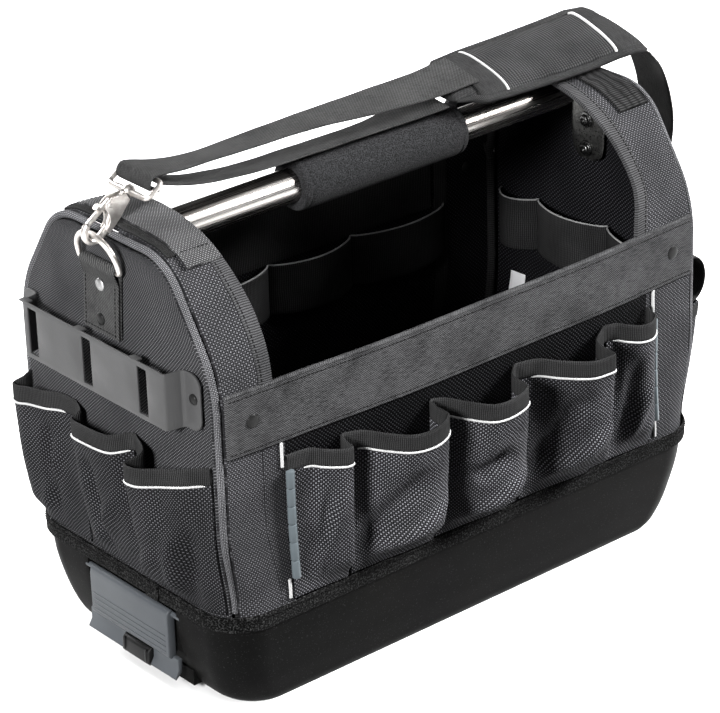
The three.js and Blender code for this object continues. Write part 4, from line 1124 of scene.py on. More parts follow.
FACE_PROFILE = [
    (219.4, 64.3), (221.8, 64.2), (223.8, 62.2), (224.5, 58.5), (224.5, 28), (222.5, 25.5),
    (217.4, 25.5), (217.4, 60.5),
]
FLANGE_PROFILE = [
    (217.4, 27), (221.2, 27), (221.4, 18), (224.6, 12.6), (223.4, 11.2), (218.6, 16), (217.4, 21),
]
TRIGGER_PROFILE = [
    (217.6, 24.6), (222.4, 24.6), (225.2, 22), (225.8, 12.6), (224.2, 10.6), (219.4, 10.6), (217.6, 13),
]
LATCH_LINES_Z = (31.0, 35.2, 39.4, 43.6)  # raised lines across the plate
LATCH_LINE_X = (224.2, 224.95)
LATCH_LINE_HALF = 0.45
LATCH_LINE_INSET = 3.0
LATCH_PIN_PROFILE = [(0, 0), (2, 0), (2, 10), (0, 10)]
LATCH_PIN_INSET = 0.8
TRIGGER_GAP = 0.4
TRIGGER_GRIP_X = (222.0, 226.3)
TRIGGER_GRIP_Z = (13.5, 23.0)
TRIGGER_GRIP_HALF = 1.2
TRIGGER_GRIP_INSET = 3.0


def build_latch(end, turn):
    line_y = LATCH_HALF - LATCH_LINE_INSET
    pin_y = LATCH_HALF - LATCH_PIN_INSET
    plate = [
        bevelled("face", prism_raw(FACE_PROFILE, -LATCH_HALF, LATCH_HALF), 1.0, 4),
        bevelled("flange", [
            prism_raw(FLANGE_PROFILE, -LATCH_LIP, TRIGGER_FROM - TRIGGER_GAP),
            prism_raw(FLANGE_PROFILE, TRIGGER_TO + TRIGGER_GAP, LATCH_LIP),
        ], 0.5),
        bevelled("lines", [
            box_raw(*LATCH_LINE_X, -line_y, line_y, z - LATCH_LINE_HALF, z + LATCH_LINE_HALF)
            for z in LATCH_LINES_Z
        ], 0.25, 2),
        plain_object("pins", [
            lathe_raw(LATCH_PIN_PROFILE, (LATCH_PIN_X, side * pin_y, LATCH_PIN_Z), (0, side, 0), 20)
            for side in (-1, 1)
        ]),
    ]
    trigger = [
        bevelled("bar", prism_raw(TRIGGER_PROFILE, TRIGGER_FROM, TRIGGER_TO), 0.9),
        bevelled("grips", [
            box_raw(*TRIGGER_GRIP_X, y - TRIGGER_GRIP_HALF, y + TRIGGER_GRIP_HALF, *TRIGGER_GRIP_Z)
            for y in (TRIGGER_FROM + TRIGGER_GRIP_INSET, TRIGGER_TO - TRIGGER_GRIP_INSET)
        ], 0.7),
    ]
    for slot, name, pieces, look in (
        ("latch", "latch_plate", plate, LATCH_LOOK),
        ("trigger", "latch_trigger", trigger, TRIGGER_LOOK),
    ):
        obj = joined(f"{name}_fine_{end}", pieces)
        obj.data.transform(Matrix.Diagonal((*turn, 1.0)))
        finish_piece(obj, look, [f"{name}_{end}"], "latch_" + end, smooth=30)


def joined(name, objects):
    """Several meshes as one object."""
    bm = bmesh.new()
    for obj in objects:
        bm.from_mesh(obj.data)
    mesh = bpy.data.meshes.new(name)
    bm.to_mesh(mesh)
    bm.free()
    for obj in objects:
        bpy.data.objects.remove(obj)
    return linked(name, mesh)


# Cloth ends and hoods

END_TURNS = {"right": np.ones(3), "left": HALF_TURN}


END_CROWN_Z = 296.0  # an end panel's rows lie closer above this
END_CROWN_STEP = 3.0
HOOD_UNDER_TAPE = 2.0  # how far short of the free edge the cloth ends under its tape
BINDING_OUT = 0.7
BINDING_IN = CLOTH + 0.5
BINDING_THREAD_OFF = 0.75
BINDING_THREAD_INSET = 1.8


def build_end(end, turn):
    top_z = ARCH_TOP_Z - float(edge_inset(ARCH_TOP_Z))
    low_rows = np.linspace(WALL_BASE_Z, END_CROWN_Z, 76)
    crown_rows = np.linspace(END_CROWN_Z + END_CROWN_STEP, top_z, 24)
    heights = np.concatenate([low_rows, crown_rows])
    across = np.sin(np.linspace(-math.pi / 2, math.pi / 2, 61))
    grid = end_point(across[None, :], heights[:, None]) * turn
    panel = sheet_raw(grid, 0.0, CLOTH, RIGHT_OUT * turn)
    shade_inside_faces(make_fine("end_panel", panel, END_LOOK, end))

    line = arch_line(WALL_BASE_Z)
    y, z = line[:, :1], line[:, 1:]
    outer = ARCH_X - edge_inset(z)
    under_tape = np.where(z > PANEL_TOP_Z + 1.0, HOOD_UNDER_TAPE, HOOD_BINDING + GAP)
    inner = free_edge_x(end, z) + under_tape
    grid = hood_point(end, y, z, lerp(outer, inner, np.linspace(0, 1, 16)[None, :])) * turn
    shade_inside_faces(make_fine("hood", sheet_raw(grid, 0.0, CLOTH, UP_OUT), HOOD_LOOK, end))

    line = arch_line(PANEL_TOP_Z + GAP, 2.0)
    y, z = line[:, :1], line[:, 1:]
    edge_x = free_edge_x(end, z)
    grid = hood_point(end, y, z, edge_x + HOOD_BINDING * np.linspace(1, 0, 6)[None, :]) * turn
    tape = sheet_raw(grid, BINDING_OUT, BINDING_IN, UP_OUT, rim=0.3, swap=True)
    make_fine("hood_binding", tape, BINDING_LOOK, end)
    seam_x = edge_x[:, 0] + HOOD_BINDING - BINDING_THREAD_INSET
    seam = hood_point(end, line[:, 0], line[:, 1], seam_x) * turn
    out = grid_normals(grid, UP_OUT)[:, 2]
    threads = stitches_raw(seam + out * BINDING_THREAD_OFF, unit(seam * AXIS_Y + (0, 0, 60)))
    make("hood_stitches_" + end, threads, THREAD_LOOK)
    build_piping(end, turn)


def corner_path(inset, low_z):
    """A line up and over the corner between an end and its hood, inset from both."""
    line = arch_line(low_z, 2.5)
    y, z = line[:, 0], line[:, 1]
    k = tuck(z)
    inwards = lerp(inset, inset * math.sqrt(0.5), k)
    low = z <= SHOULDER_CENTRE[1]
    half = lerp(np.abs(y), CORNER_SIDE, k) - np.where(low, inwards, 0.0)
    path = np.stack([lerp(ARCH_X, CORNER_END, k) - inwards, np.sign(y) * half, z], axis=1)
    tangents = unit(np.gradient(path, axis=0))
    inward = unit(np.stack([0 * y, tangents[:, 2], -tangents[:, 1]], axis=1))
    return np.where(low[:, None], path, path + inward * inset)


def build_piping(end, turn):
    path = corner_path(PIPING_R + 0.1, POCKET_LOW_Z) * turn
    make_fine("end_piping", cord_raw(path, PIPING_R, 14, RIGHT_OUT), PIPING_LOOK, end)
    path = corner_path(INNER_SEAM_INSET, WALL_BASE_Z) * turn
    make("inner_corner_seam_" + end, cord_raw(path, INNER_SEAM_R, 12, RIGHT_OUT), INNER_LOOK)


def hood_patch(end, inner_x, outer_x, half_y, clear, thickness):
    """A strip laid across the top of a hood."""
    line = arch_line(PANEL_TOP_Z, 2.5)
    line = line[(np.abs(line[:, 0]) <= half_y) & (line[:, 1] > ARCH_SHOULDER_Z)]
    x = np.linspace(outer_x, inner_x, 8)[None, :]
    grid = hood_point(end, line[:, :1], line[:, 1:], x) * END_TURNS[end]
    return grid, sheet_raw(grid, clear + thickness, -clear, UP_OUT, swap=True)


Flap = namedtuple("Flap", "end inner_x outer_x clear look thread_row")
FLAPS = (
    Flap("right", 187, 213, GAP, SHADED_CORD_FLAP_LOOK, 4),
    Flap("left", 177.5, 207, GAP + 0.9, FLAP_LOOK, 5),
)
FLAP_HALF = 68.5
HOOK_TAPE_X = (208.2, 213.2)
HOOK_TAPE_HALF = 58.0
HOOK_TAPE_CLEAR = 0.25
HOOK_TAPE_THICKNESS = 1.2
HOOK_TAPE_EDGE_R = 0.9


def build_flaps():
    for flap in FLAPS:
        grid, strip = hood_patch(flap.end, flap.inner_x, flap.outer_x, FLAP_HALF, flap.clear, WEBBING)
        make_fine("hood_flap", strip, flap.look, flap.end)
        normals = grid_normals(grid, UP_OUT)
        off = flap.clear + WEBBING + THREAD_OFF
        lines = []
        for row in (flap.thread_row, len(grid) - 1 - flap.thread_row):
            lines.append(stitches_raw(grid[row, 1:-1] + normals[row, 1:-1] * off, normals[row, 3]))
        make("hood_flap_stitches_" + flap.end, lines, THREAD_LOOK)
    grid, strip = hood_patch("left", *HOOK_TAPE_X, HOOK_TAPE_HALF, HOOK_TAPE_CLEAR, HOOK_TAPE_THICKNESS)
    make("hood_hook_tape_left", strip, LOOP_LOOK)
    edges = grid + grid_normals(grid, UP_OUT)
    cords = [cord_raw(edges[:, column], HOOK_TAPE_EDGE_R, 8, RIGHT_OUT) for column in (0, -1)]
    make("hood_hook_tape_edges_left", cords, TAPE_LOOK)


# Front and back walls

PANEL_FROM_X = -HOOD_FREE_X["left"] + HOOD_FLARE["left"] - HOOD_BINDING
PANEL_TO_X = HOOD_FREE_X["right"] - HOOD_FLARE["right"] + HOOD_BINDING


def paint_shade_behind_pockets(obj):
    """Between the two edge strips the wall gets a darker copy of its cloth: painted shade behind the
    pockets.
    """
    add_materials(obj, SHADED_WALL_LOOK)
    for face in obj.data.polygons:
        if face.material_index == 0 and POCKETS_FROM_X < face.center.x / MM < POCKETS_TO_X:
            face.material_index = 2


BAND_THREADS_Z = (BAND_LOW_Z + 2.6, PANEL_TOP_Z - 3.2)
BAND_THREAD_INSET = 3.0
BAND_RIVET_X = 194.0
BAND_RIVET_Z = 227.0
BAND_RIVET_RISE = 1.4


def build_walls():
    panel = wall_grid(PANEL_FROM_X, PANEL_TO_X, WALL_BASE_Z, PANEL_TOP_Z)
    band_half = ARCH_X - float(edge_inset(PANEL_TOP_Z)) - 2 * GAP
    band = wall_grid(-band_half, band_half, BAND_LOW_Z, PANEL_TOP_Z)
    thread_x = np.linspace(-band_half + BAND_THREAD_INSET, band_half - BAND_THREAD_INSET, 160)
    for name, turn in (("front", np.ones(3)), ("back", TO_BACK)):
        out = FRONT_OUT * turn
        obj = make_fine(name + "_panel", sheet_raw(panel * turn, 0.0, CLOTH, out), HOOD_LOOK)
        shade_inside_faces(obj)
        if name == "front":
            paint_shade_behind_pockets(obj)
        tape = sheet_raw(band * turn, GAP + WEBBING, -GAP, out)
        make_fine(name + "_band", tape, BAND_LOOK)
        build_band_fold(name, turn, band_half)
        lines = []
        for z in BAND_THREADS_Z:
            lines.append(stitches_raw(on_front(thread_x, z, GAP + WEBBING + THREAD_OFF) * turn, out))
        make(name + "_band_stitches", lines, THREAD_LOOK)
        rivets = []
        for x in (-BAND_RIVET_X, BAND_RIVET_X):
            head = on_front(x, BAND_RIVET_Z, GAP + WEBBING) * turn
            tail = on_front(x, BAND_RIVET_Z, -CLOTH) * turn
            rivets.append(rivet_raw(head, out, 5.0, BAND_RIVET_RISE))
            rivets.append(rivet_raw(tail, -out, 4.0, BAND_RIVET_RISE))
        make(name + "_band_rivets", rivets, RIVET_LOOK)
    from_x = PANEL_FROM_X + HOOD_BINDING
    inner = wall_grid(from_x, PANEL_TO_X - HOOD_BINDING, BAND_LOW_Z, PANEL_TOP_Z) * TO_BACK
    tape = sheet_raw(inner, -CLOTH - GAP, CLOTH + GAP + WEBBING, -FRONT_OUT)
    make_fine("inner_band", tape, INNER_LOOK)


FOLD_SPARE = 0.25
SEAM_TAPE_CLEAR = 0.1
SEAM_TAPE_THICKNESS = 1.0


def build_band_fold(name, turn, band_half):
    """The band's top edge turned over the wall, and the tapes on the wall's two upright seams inside."""
    x = np.linspace(-band_half, band_half, 130)
    path = on_front(x, PANEL_TOP_Z, (GAP + WEBBING - CLOTH) / 2) * turn
    half_through = (CLOTH + GAP + WEBBING) / 2 + FOLD_SPARE
    fold = sweep_raw(path, round_section(FOLD_RISE, half_through, 14), UP_OUT)
    make(name + "_band_fold", fold, BAND_LOOK)
    tapes = []
    for x in (PANEL_FROM_X, PANEL_TO_X):
        grid = wall_grid(x - SEAM_TAPE_HALF, x + SEAM_TAPE_HALF, WALL_BASE_Z + 1.0, PANEL_TOP_Z - 1.0)
        inner = CLOTH + SEAM_TAPE_THICKNESS
        tapes.append(sheet_raw(grid * turn, -CLOTH - SEAM_TAPE_CLEAR, inner, FRONT_OUT * turn))
    make(name + "_inner_seams", tapes, INNER_LOOK)


BOTTOM_TAPE_Z = 76.4
BOTTOM_TAPE_HALF = 6.1
BOTTOM_TAPE_OUT = 1.5
BOTTOM_THREAD_Z = 79.6
BOTTOM_THREAD_OUT = 2.6
BOTTOM_THREAD_PITCH = 3.6
LAP_Y = (-38.0, -25.0)  # where the tape's two ends overlap
LAP_Z = (70.6, 82.2)
LAP_OUT = 3.9
LAP_THICKNESS = 1.6


def bottom_ring(z, out, step):
    """A line round the bag just above the tray, ending where it starts."""
    ring = np.array(tray_ring((z, TRAY_LENGTH + BOTTOM_TAPE_OUT, TRAY_WIDTH, TRAY_CORNER), -out))
    return resample(np.vstack([ring, ring[:1]]), step)


def build_bottom_tape():
    path = bottom_ring(BOTTOM_TAPE_Z, BOTTOM_TAPE_OUT, 2.0)[:-1]
    along = arc_lengths(path)
    base = strip_section(BOTTOM_TAPE_HALF, 0.7, 7)
    height = base[None, :, 0]
    sections = np.repeat(base[None], len(path), axis=0)
    top_edge = -np.abs(0.6 * waver(along, 3, 6, 40.0))[:, None] * 0.6
    bottom_edge = (0.3 * waver(along, 4, 6, 55.0))[:, None] * (height < -3) * 0.4
    sections[..., 0] += np.where(height > 0, top_edge, bottom_edge)
    sections[..., 1] += 0.25 * waver(along, 5, 6, 30.0)[:, None]
    tape = sweep_raw(path, sections, UP_OUT, closed=True)
    lap_y = np.linspace(*LAP_Y, 8)[None, :]
    lap_z = np.linspace(*LAP_Z, 7)[:, None]
    lap = sheet_raw(on_left_end(lap_y, lap_z, LAP_OUT), LAP_THICKNESS, 0.0, LEFT_OUT, rim=0.5)
    make_fine("bottom_binding", [tape, lap], FUZZ_LOOK)
    seam = bottom_ring(BOTTOM_THREAD_Z, BOTTOM_THREAD_OUT, BOTTOM_THREAD_PITCH)
    outward = unit(seam * (0.4, 1.0, 0.0))
    threads = stitches_raw(seam, outward, BOTTOM_THREAD_PITCH, 2.6, 0.42)
    make("bottom_binding_stitches", threads, THREAD_LOOK)


# Pockets

def mouth_line(pocket):
    """The mouth from its start to its end: columns of distance along the wall, off it and sag."""
    last = pocket.end - pocket.start - JOINT_GAP
    deepest = max(pocket.depth, pocket.fold_depth)
    points = [
        (JOINT_GAP, 0.0),
        (pocket.lead, 0.14 * pocket.depth),
        (lerp(pocket.lead, pocket.crest, 0.4), 0.55 * pocket.depth),
        (pocket.crest, pocket.depth),
        (lerp(pocket.crest, pocket.fold, 0.55), deepest + 1.0),
        (pocket.fold, pocket.fold_depth),
        (lerp(pocket.fold, last, 0.1), 0.4 * pocket.fold_depth),
        (last, 0.0),
    ]
    along, off = spline(points, 9).T
    off = np.maximum(off, 0.0)
    return np.column_stack([along + pocket.start, off, HEM_SAG * off / deepest])


CREASE_FADE_IN = (-0.15, 0.2)  # shares of a crease's length
CREASE_FADE_OUT = (0.75, 1.2)
CREASES_END_V = (0.75, 1.0)  # creases die out towards the hem
FOLD_FROM_U = 0.12
FOOT_TUCK_TO_V = 0.22
FOOT_CURVE = 0.55


def crease_height(creases, u, v, width, height):
    total = np.zeros(np.broadcast(u, v).shape)
    for c in creases:
        a = np.array([c.from_u * width, c.from_v * height])
        b = np.array([c.to_u * width, c.to_v * height])
        du, dv = u * width - a[0], v * height - a[1]
        length = np.linalg.norm(b - a)
        t = (du * (b - a)[0] + dv * (b - a)[1]) / length**2
        side = np.abs(du * (b - a)[1] - dv * (b - a)[0]) / length
        fade = smoothstep(t, *CREASE_FADE_IN) * (1.0 - smoothstep(t, *CREASE_FADE_OUT))
        total += c.height * fade * np.exp(-(side / c.width) ** 2)
    return total


def pocket_parts(pocket, creases, mouth_z, fold_foot, place, out):
    along, off, sag = mouth_line(pocket).T[:, None]
    v = np.linspace(0, 1, 40)[:, None]
    width = pocket.end - pocket.start
    hem_z = mouth_z - HEM_HEIGHT - 3 * GAP
    z = lerp(POCKET_LOW_Z, hem_z - sag, v)
    u = (along - pocket.start) / width
    mask = np.clip(4.0 * u * (1.0 - u), 0, 1) ** 0.5 * np.clip(4.0 * v, 0, 1)
    mask = mask * (1.0 - smoothstep(v, *CREASES_END_V))
    crease = crease_height(creases, u, v, width, hem_z - POCKET_LOW_Z) * mask
    foot = lerp(FOOT_SHARE, fold_foot, smoothstep(u, FOLD_FROM_U, pocket.fold / width))
    grow = lerp(foot, 1.0, v**FOOT_CURVE)
    grow = grow * lerp(FOOT_TUCK, 1.0, smoothstep(v, 0.0, FOOT_TUCK_TO_V))
    stand = STAND_OFF + np.maximum(off * grow + crease, 0.0)
    return sheet_raw(place(along, z, stand), 0.0, POCKET_CLOTH, out)


HEM_OUT = 0.6  # how far the hem stands off the pocket's cloth


def hem_parts(pockets, mouth_z, place, out):
    along, off, sag = np.vstack([mouth_line(pocket) for pocket in pockets]).T[:, None]
    z = mouth_z + np.linspace(-HEM_HEIGHT, 0, 7)[:, None] - sag
    return sheet_raw(place(along, z, STAND_OFF + HEM_OUT + off), 0.0, HEM_THICKNESS, out, rim=0.45)


def mouth_trim(pocket, mouth_z, place):
    """The white cord under a pocket's hem, from its lead round to its fold."""
    line = mouth_line(pocket)
    from_lead = line[:, 0] > pocket.start + 0.7 * pocket.lead
    along, off, sag = line[from_lead & (line[:, 0] < pocket.start + pocket.fold + 1.0)].T
    path = resample(place(along, mouth_z - HEM_HEIGHT - 1.0 - sag, STAND_OFF + off + HEM_OUT), 1.2)
    from_start = arc_lengths(path)
    ends = smoothstep(np.minimum(from_start, from_start[::-1]), -1.0, 5.0)[:, None, None]
    sections = round_section(0.85, 0.8, 10)[None] * lerp(0.4, 1.0, ends)
    return sweep_raw(path, sections, UP_OUT)


PocketRow = namedtuple("PocketRow", "name pockets creases mouth_z fold_foot look place out")


def build_pockets():
    rows = (
        PocketRow(
            "front", FRONT_POCKETS, FRONT_CREASES, FRONT_MOUTH_Z, FRONT_FOLD_FOOT,
            CLOTH_LOOK, on_front, FRONT_OUT,
        ),
        PocketRow(
            "left", LEFT_POCKETS, LEFT_CREASES, LEFT_MOUTH_Z, LEFT_FOLD_FOOT,
            SHADED_SIDE_LOOK, on_left_end, LEFT_OUT,
        ),
    )
    for row in rows:
        for i, (pocket, creases) in enumerate(zip(row.pockets, row.creases)):
            cloth = pocket_parts(pocket, creases, row.mouth_z, row.fold_foot, row.place, row.out)
            make_fine(f"{row.name}_pocket_{i + 1}", cloth, row.look, smooth=70)
        in_order = sorted(row.pockets, key=lambda pocket: pocket.start)
        hem = hem_parts(in_order, row.mouth_z, row.place, row.out)
        make_fine(row.name + "_pocket_hem", hem, TAPE_LOOK, smooth=70)
        trims = [mouth_trim(pocket, row.mouth_z, row.place) for pocket in row.pockets]
        make(row.name + "_pocket_piping", trims, WHITE_LOOK)
    build_right_pocket()


RIGHT_POCKET_HALF = 104.0
RIGHT_MOUTH_Z = 168.0
RIGHT_FOOT_DEPTH = 2.5
RIGHT_DEPTH = 15.0
RIGHT_FOLDS = 1.6
RIGHT_HEM_ROWS = 5
RIGHT_LOOP_Y = (-104.0, -64.0)
RIGHT_LOOP_Z = (170.0, 214.0)
RIGHT_LOOP_DEPTH = 16.0
RIGHT_LOOP_SEWN = 0.08  # share of its length sewn down at each end


def build_right_pocket():
    u = np.linspace(0, 1, 70)[None, :]
    v = np.linspace(0, 1, 34)[:, None]
    rise = smoothstep(np.minimum(u, 1 - u), 0.0, 0.035)
    folds = RIGHT_FOLDS * np.sin(u * 21.0) * v * (1 - v) * 2.0
    off = STAND_OFF + rise * (lerp(RIGHT_FOOT_DEPTH, RIGHT_DEPTH, v) + folds)
    y = lerp(-RIGHT_POCKET_HALF, RIGHT_POCKET_HALF, u)
    z = lerp(POCKET_LOW_Z, RIGHT_MOUTH_Z, v)
    cloth = sheet_raw(on_right_end(y, z, off), 0.0, POCKET_CLOTH, RIGHT_OUT)
    make_fine("right_pocket", cloth, SHADED_SIDE_LOOK, smooth=70)
    z, off = z[-RIGHT_HEM_ROWS:], off[-RIGHT_HEM_ROWS:]
    hem = sheet_raw(on_right_end(y, z, off + 0.3), 0.6, -0.1, RIGHT_OUT)
    make("right_pocket_hem", hem, TAPE_LOOK, smooth=70)
    path = on_right_end(y[0], z[0] - 0.6, off[0] + 0.5)[4:-4]
    cord = sweep_raw(path, round_section(1.1, 1.0, 10), UP_OUT)
    make("right_pocket_piping", cord, WHITE_LOOK)
    v = np.linspace(0, 1, 46)[:, None]
    rise = np.clip((v - RIGHT_LOOP_SEWN) / (1 - 2 * RIGHT_LOOP_SEWN), 0, 1)
    off = STAND_OFF + RIGHT_LOOP_DEPTH * np.maximum(np.sin(math.pi * rise), 0.0) ** 0.4
    y = np.linspace(*RIGHT_LOOP_Y, 14)[None, :]
    grid = on_right_end(y, lerp(*RIGHT_LOOP_Z, v), off)
    loop = sheet_raw(grid, 0.0, WEBBING, RIGHT_OUT, swap=True)
    make_fine("right_loop", loop, STRAP_LOOK, smooth=70)


# A light grey cord along each loop's top edge: a painted highlight on the loops' edges
LOOP_HIGHLIGHT_R = 0.75
LOOP_HIGHLIGHT_RISE = 0.3


def build_inner_loops():
    rows = (
        ("inner_back_loops", (-159, -80, 0, 79, 170), 163, 203, 14.0, inside_back, FRONT_OUT),
        ("inner_right_loops", (-88, -16, 58, 96), 166, 207, 13.0, inside_right, LEFT_OUT),
    )
    for name, joints, low_z, high_z, depth, place, out in rows:
        along, off = [], []
        for left, right in zip(joints, joints[1:]):
            f = np.linspace(0, 1, 26, endpoint=right == joints[-1])
            along.append(lerp(left, right, f))
            off.append(depth * np.maximum(np.sin(math.pi * f), 0.0) ** 0.7)
        along = np.concatenate(along)
        stand = STAND_OFF + CLOTH + GAP + np.concatenate(off)
        z = np.linspace(low_z, high_z, 16)[:, None]
        webbing = sheet_raw(place(along[None], z, stand[None]), 0.0, POCKET_CLOTH, out)
        make_fine(name, webbing, INNER_LOOK, smooth=70)
        edge = place(along, high_z + LOOP_HIGHLIGHT_RISE, stand - POCKET_CLOTH / 2)
        make(name + "_edge_painted_highlight", cord_raw(edge, LOOP_HIGHLIGHT_R, 8, UP_OUT), EDGE_HIGHLIGHT_LOOK)


STRIP_LOW_Z = 101.0
STRIP_LINKS = 6
STRIP_LINK = 13.6
STRIP_LINK_GAP = 0.25
STRIP_HALF = 2.9
STRIP_OUTLINE = ((-1, 0), (1, 0), (1, -1), (0, -1.6), (-1, -1))  # in half widths
EDGE_PIPING_Z = ((85.5, 99.5), (184.5, 203.0))


def build_edge_strips():
    for name, x, piping_x in (("left", POCKETS_FROM_X, -171.5), ("right", POCKETS_TO_X, 174.6)):
        parts = []
        for link in range(STRIP_LINKS):
            rings = []
            for dz in (STRIP_LINK_GAP, STRIP_LINK - STRIP_LINK_GAP):
                z = STRIP_LOW_Z + link * STRIP_LINK + dz
                y = -float(wall_reach(x, z)) - STAND_OFF - 1.0
                rings.append([(x + a * STRIP_HALF, y + b * STRIP_HALF, z) for a, b in STRIP_OUTLINE])
            parts.append(loft_raw(rings))
        strip = bevelled("edge_strip_fine_" + name, parts, 0.6)
        finish_piece(strip, STRIP_LOOK, ["edge_strip_" + name])
        trims = []
        for low_z, high_z in EDGE_PIPING_Z:
            path = on_front(piping_x, np.linspace(low_z, high_z, 14), 1.0)
            trims.append(sweep_raw(path, round_section(1.2, 1.0, 10), RIGHT_OUT))
        make("edge_piping_" + name, trims, WHITE_LOOK)


# Handle and fittings

TUBE_FLAT_X = 218.9  # middle of the tube's flattened ends
TUBE_FLAT_HALF = 1.5  # half their thickness
TUBE_END_ROWS = [  # x, z, half across, half through
    (178, TUBE_Z, TUBE_R, TUBE_R),
    (186, TUBE_Z, TUBE_R, TUBE_R),
    (199, TUBE_Z - 0.6, 14, 9),
    (208, TUBE_Z - 1.4, 16.4, 3.4),
    (214.2, TUBE_Z - 3, 17, TUBE_FLAT_HALF),
    (218, TUBE_Z - 7, 17, TUBE_FLAT_HALF),
    (TUBE_FLAT_X, TUBE_Z - 14, 17, TUBE_FLAT_HALF),
    (TUBE_FLAT_X, 276, 17, TUBE_FLAT_HALF),
    (TUBE_FLAT_X, 264, 14.5, TUBE_FLAT_HALF),
    (TUBE_FLAT_X, 259.5, 8, TUBE_FLAT_HALF),
]
TUBE_STRAIGHT_TO = 170.0
TUBE_STRAIGHT_ROWS = 18
TUBE_STEEL_FROM = 211.5  # the flattened ends are duller from here
GRIP_RIM = [  # distance from an end of the grip, radius
    (0.0, 16.6), (0.6, 18.2), (2.2, 19.1), (4.2, 19.2), (5.4, 18.7), (6.8, 19.3), (10.0, GRIP_R),
]
GRIP_PLAIN_FROM = 20.0
BOLT_PROFILE = [
    (0, 0), (6.2, 0), (6.2, 0.9), (5.9, 1.25), (4.5, 1.4), (4.3, 1.6), (4.2, 2.9), (3.9, 3.5),
    (3.4, 3.75), (2.3, 3.8), (2.15, 3.5), (2.1, 2.2), (0, 2.0),
]
BOLT_Z = {"upper": 291.0, "lower": 268.0}


def build_handle():
    ends = spline(TUBE_END_ROWS, 7)
    ends[:, 3] = np.maximum(ends[:, 3], TUBE_FLAT_HALF)
    straight = np.linspace(0, TUBE_STRAIGHT_TO, TUBE_STRAIGHT_ROWS)
    middle = np.column_stack([straight, np.tile((TUBE_Z, TUBE_R, TUBE_R), (TUBE_STRAIGHT_ROWS, 1))])
    right = np.vstack([middle, ends])
    rows = np.vstack([(right[1:] * (-1, 1, 1, 1))[::-1], right])
    sections = np.array([round_section(across, through, 40) for across, through in rows[:, 2:]])
    obj = plain_object("handle_tube_fine", sweep_raw(in_middle(rows), sections, AXIS_Y))
    add_materials(obj, CHROME_LOOK, STEEL_LOOK)
    for face in obj.data.polygons:
        face.material_index = int(abs(face.center.x) > TUBE_STEEL_FROM * MM)
    finish_piece(obj, CHROME_LOOK, ["handle_tube"], smooth=50)

    inner = TUBE_R + GAP
    profile = [(inner, GRIP_FROM)]
    profile += [(radius, GRIP_FROM + along) for along, radius in GRIP_RIM]
    plain = np.linspace(GRIP_FROM + GRIP_PLAIN_FROM, GRIP_TO - GRIP_PLAIN_FROM, 12)
    profile += [(GRIP_R, x) for x in plain]
    profile += [(radius, GRIP_TO - along) for along, radius in GRIP_RIM[::-1]]
    profile += [(inner, GRIP_TO)]
    make_fine("handle_grip", lathe_raw(profile, (0, 0, TUBE_Z), RIGHT_OUT, 56), GRIP_LOOK)

    head_x = TUBE_FLAT_X - TUBE_FLAT_HALF - GAP
    for end, turn in END_TURNS.items():
        for level, z in BOLT_Z.items():
            bolt = lathe_raw(BOLT_PROFILE, (head_x, 0, z), LEFT_OUT, 36)
            make_fine("tube_bolt_" + level, turned(bolt, turn), BOLT_LOOK, end)


TAB_CLEAR = 0.35


def tab_base_x(z):
    """Where a ring tab's inner face lies against the middle of the right-hand end."""
    return float(end_reach(0.0, z)) + TAB_CLEAR


FOLD_X = tab_base_x(TAB_FOLD_Z) + TAB_LOOP_R
TAB_TOP_Z = 303.0
TAB_INNER = 1.1  # how far the two layers lie off the base
TAB_OUTER = 3.3
TAB_FOLD_R = 3.35
TAB_THREADS = [(-16.5, 267), (16.5, 267), (16.5, 304), (-16.5, 304), (-16.5, 267)]  # y, z
TAB_THREAD_OFF = 4.25
TAB_RIVET_OFF = 4.15
TAB_RIVETS = (("upper", 299.0, DOME_LOOK), ("lower", 274.0, RIVET_LOOK))


def build_ring_tab(end, turn):
    heights = np.linspace(TAB_LOW_Z, TAB_TOP_Z, 14)
    line = [(tab_base_x(z) + TAB_OUTER, z) for z in heights]
    for a in np.radians(np.linspace(-25, 205, 22)):
        line.append((FOLD_X + TAB_FOLD_R * math.cos(a), TAB_FOLD_Z + TAB_FOLD_R * math.sin(a)))
    line += [(tab_base_x(z) + TAB_INNER, z) for z in heights[::-1]]
    path = resample(in_middle(np.array(line)), 1.2)
    tape = sweep_raw(path * turn, strip_section(TAB_HALF_WIDTH, WEBBING / 2, 12), AXIS_Y)
    make_fine("ring_tab", tape, TAB_LOOK, end)
    steps = np.linspace(0, 1, 12)
    lines = []
    for (y0, z0), (y1, z1) in zip(TAB_THREADS, TAB_THREADS[1:]):
        z = lerp(z0, z1, steps)
        x = np.array([tab_base_x(height) for height in z]) + TAB_THREAD_OFF
        lines.append(stitches_raw(stacked(x, lerp(y0, y1, steps), z) * turn, RIGHT_OUT * turn))
    make("ring_tab_stitches_" + end, lines, THREAD_LOOK)
    for level, z, look in TAB_RIVETS:
        place = np.array([tab_base_x(z) + TAB_RIVET_OFF, 0, z])
        rivet = rivet_raw(place * turn, RIGHT_OUT * turn, 4.6, 1.7)
        make(f"ring_tab_rivet_{level}_{end}", rivet, look)


D_RING_SLACK = 0.6
D_RING_CORNER = 2.6
D_RING_STRAIGHT = 5.0


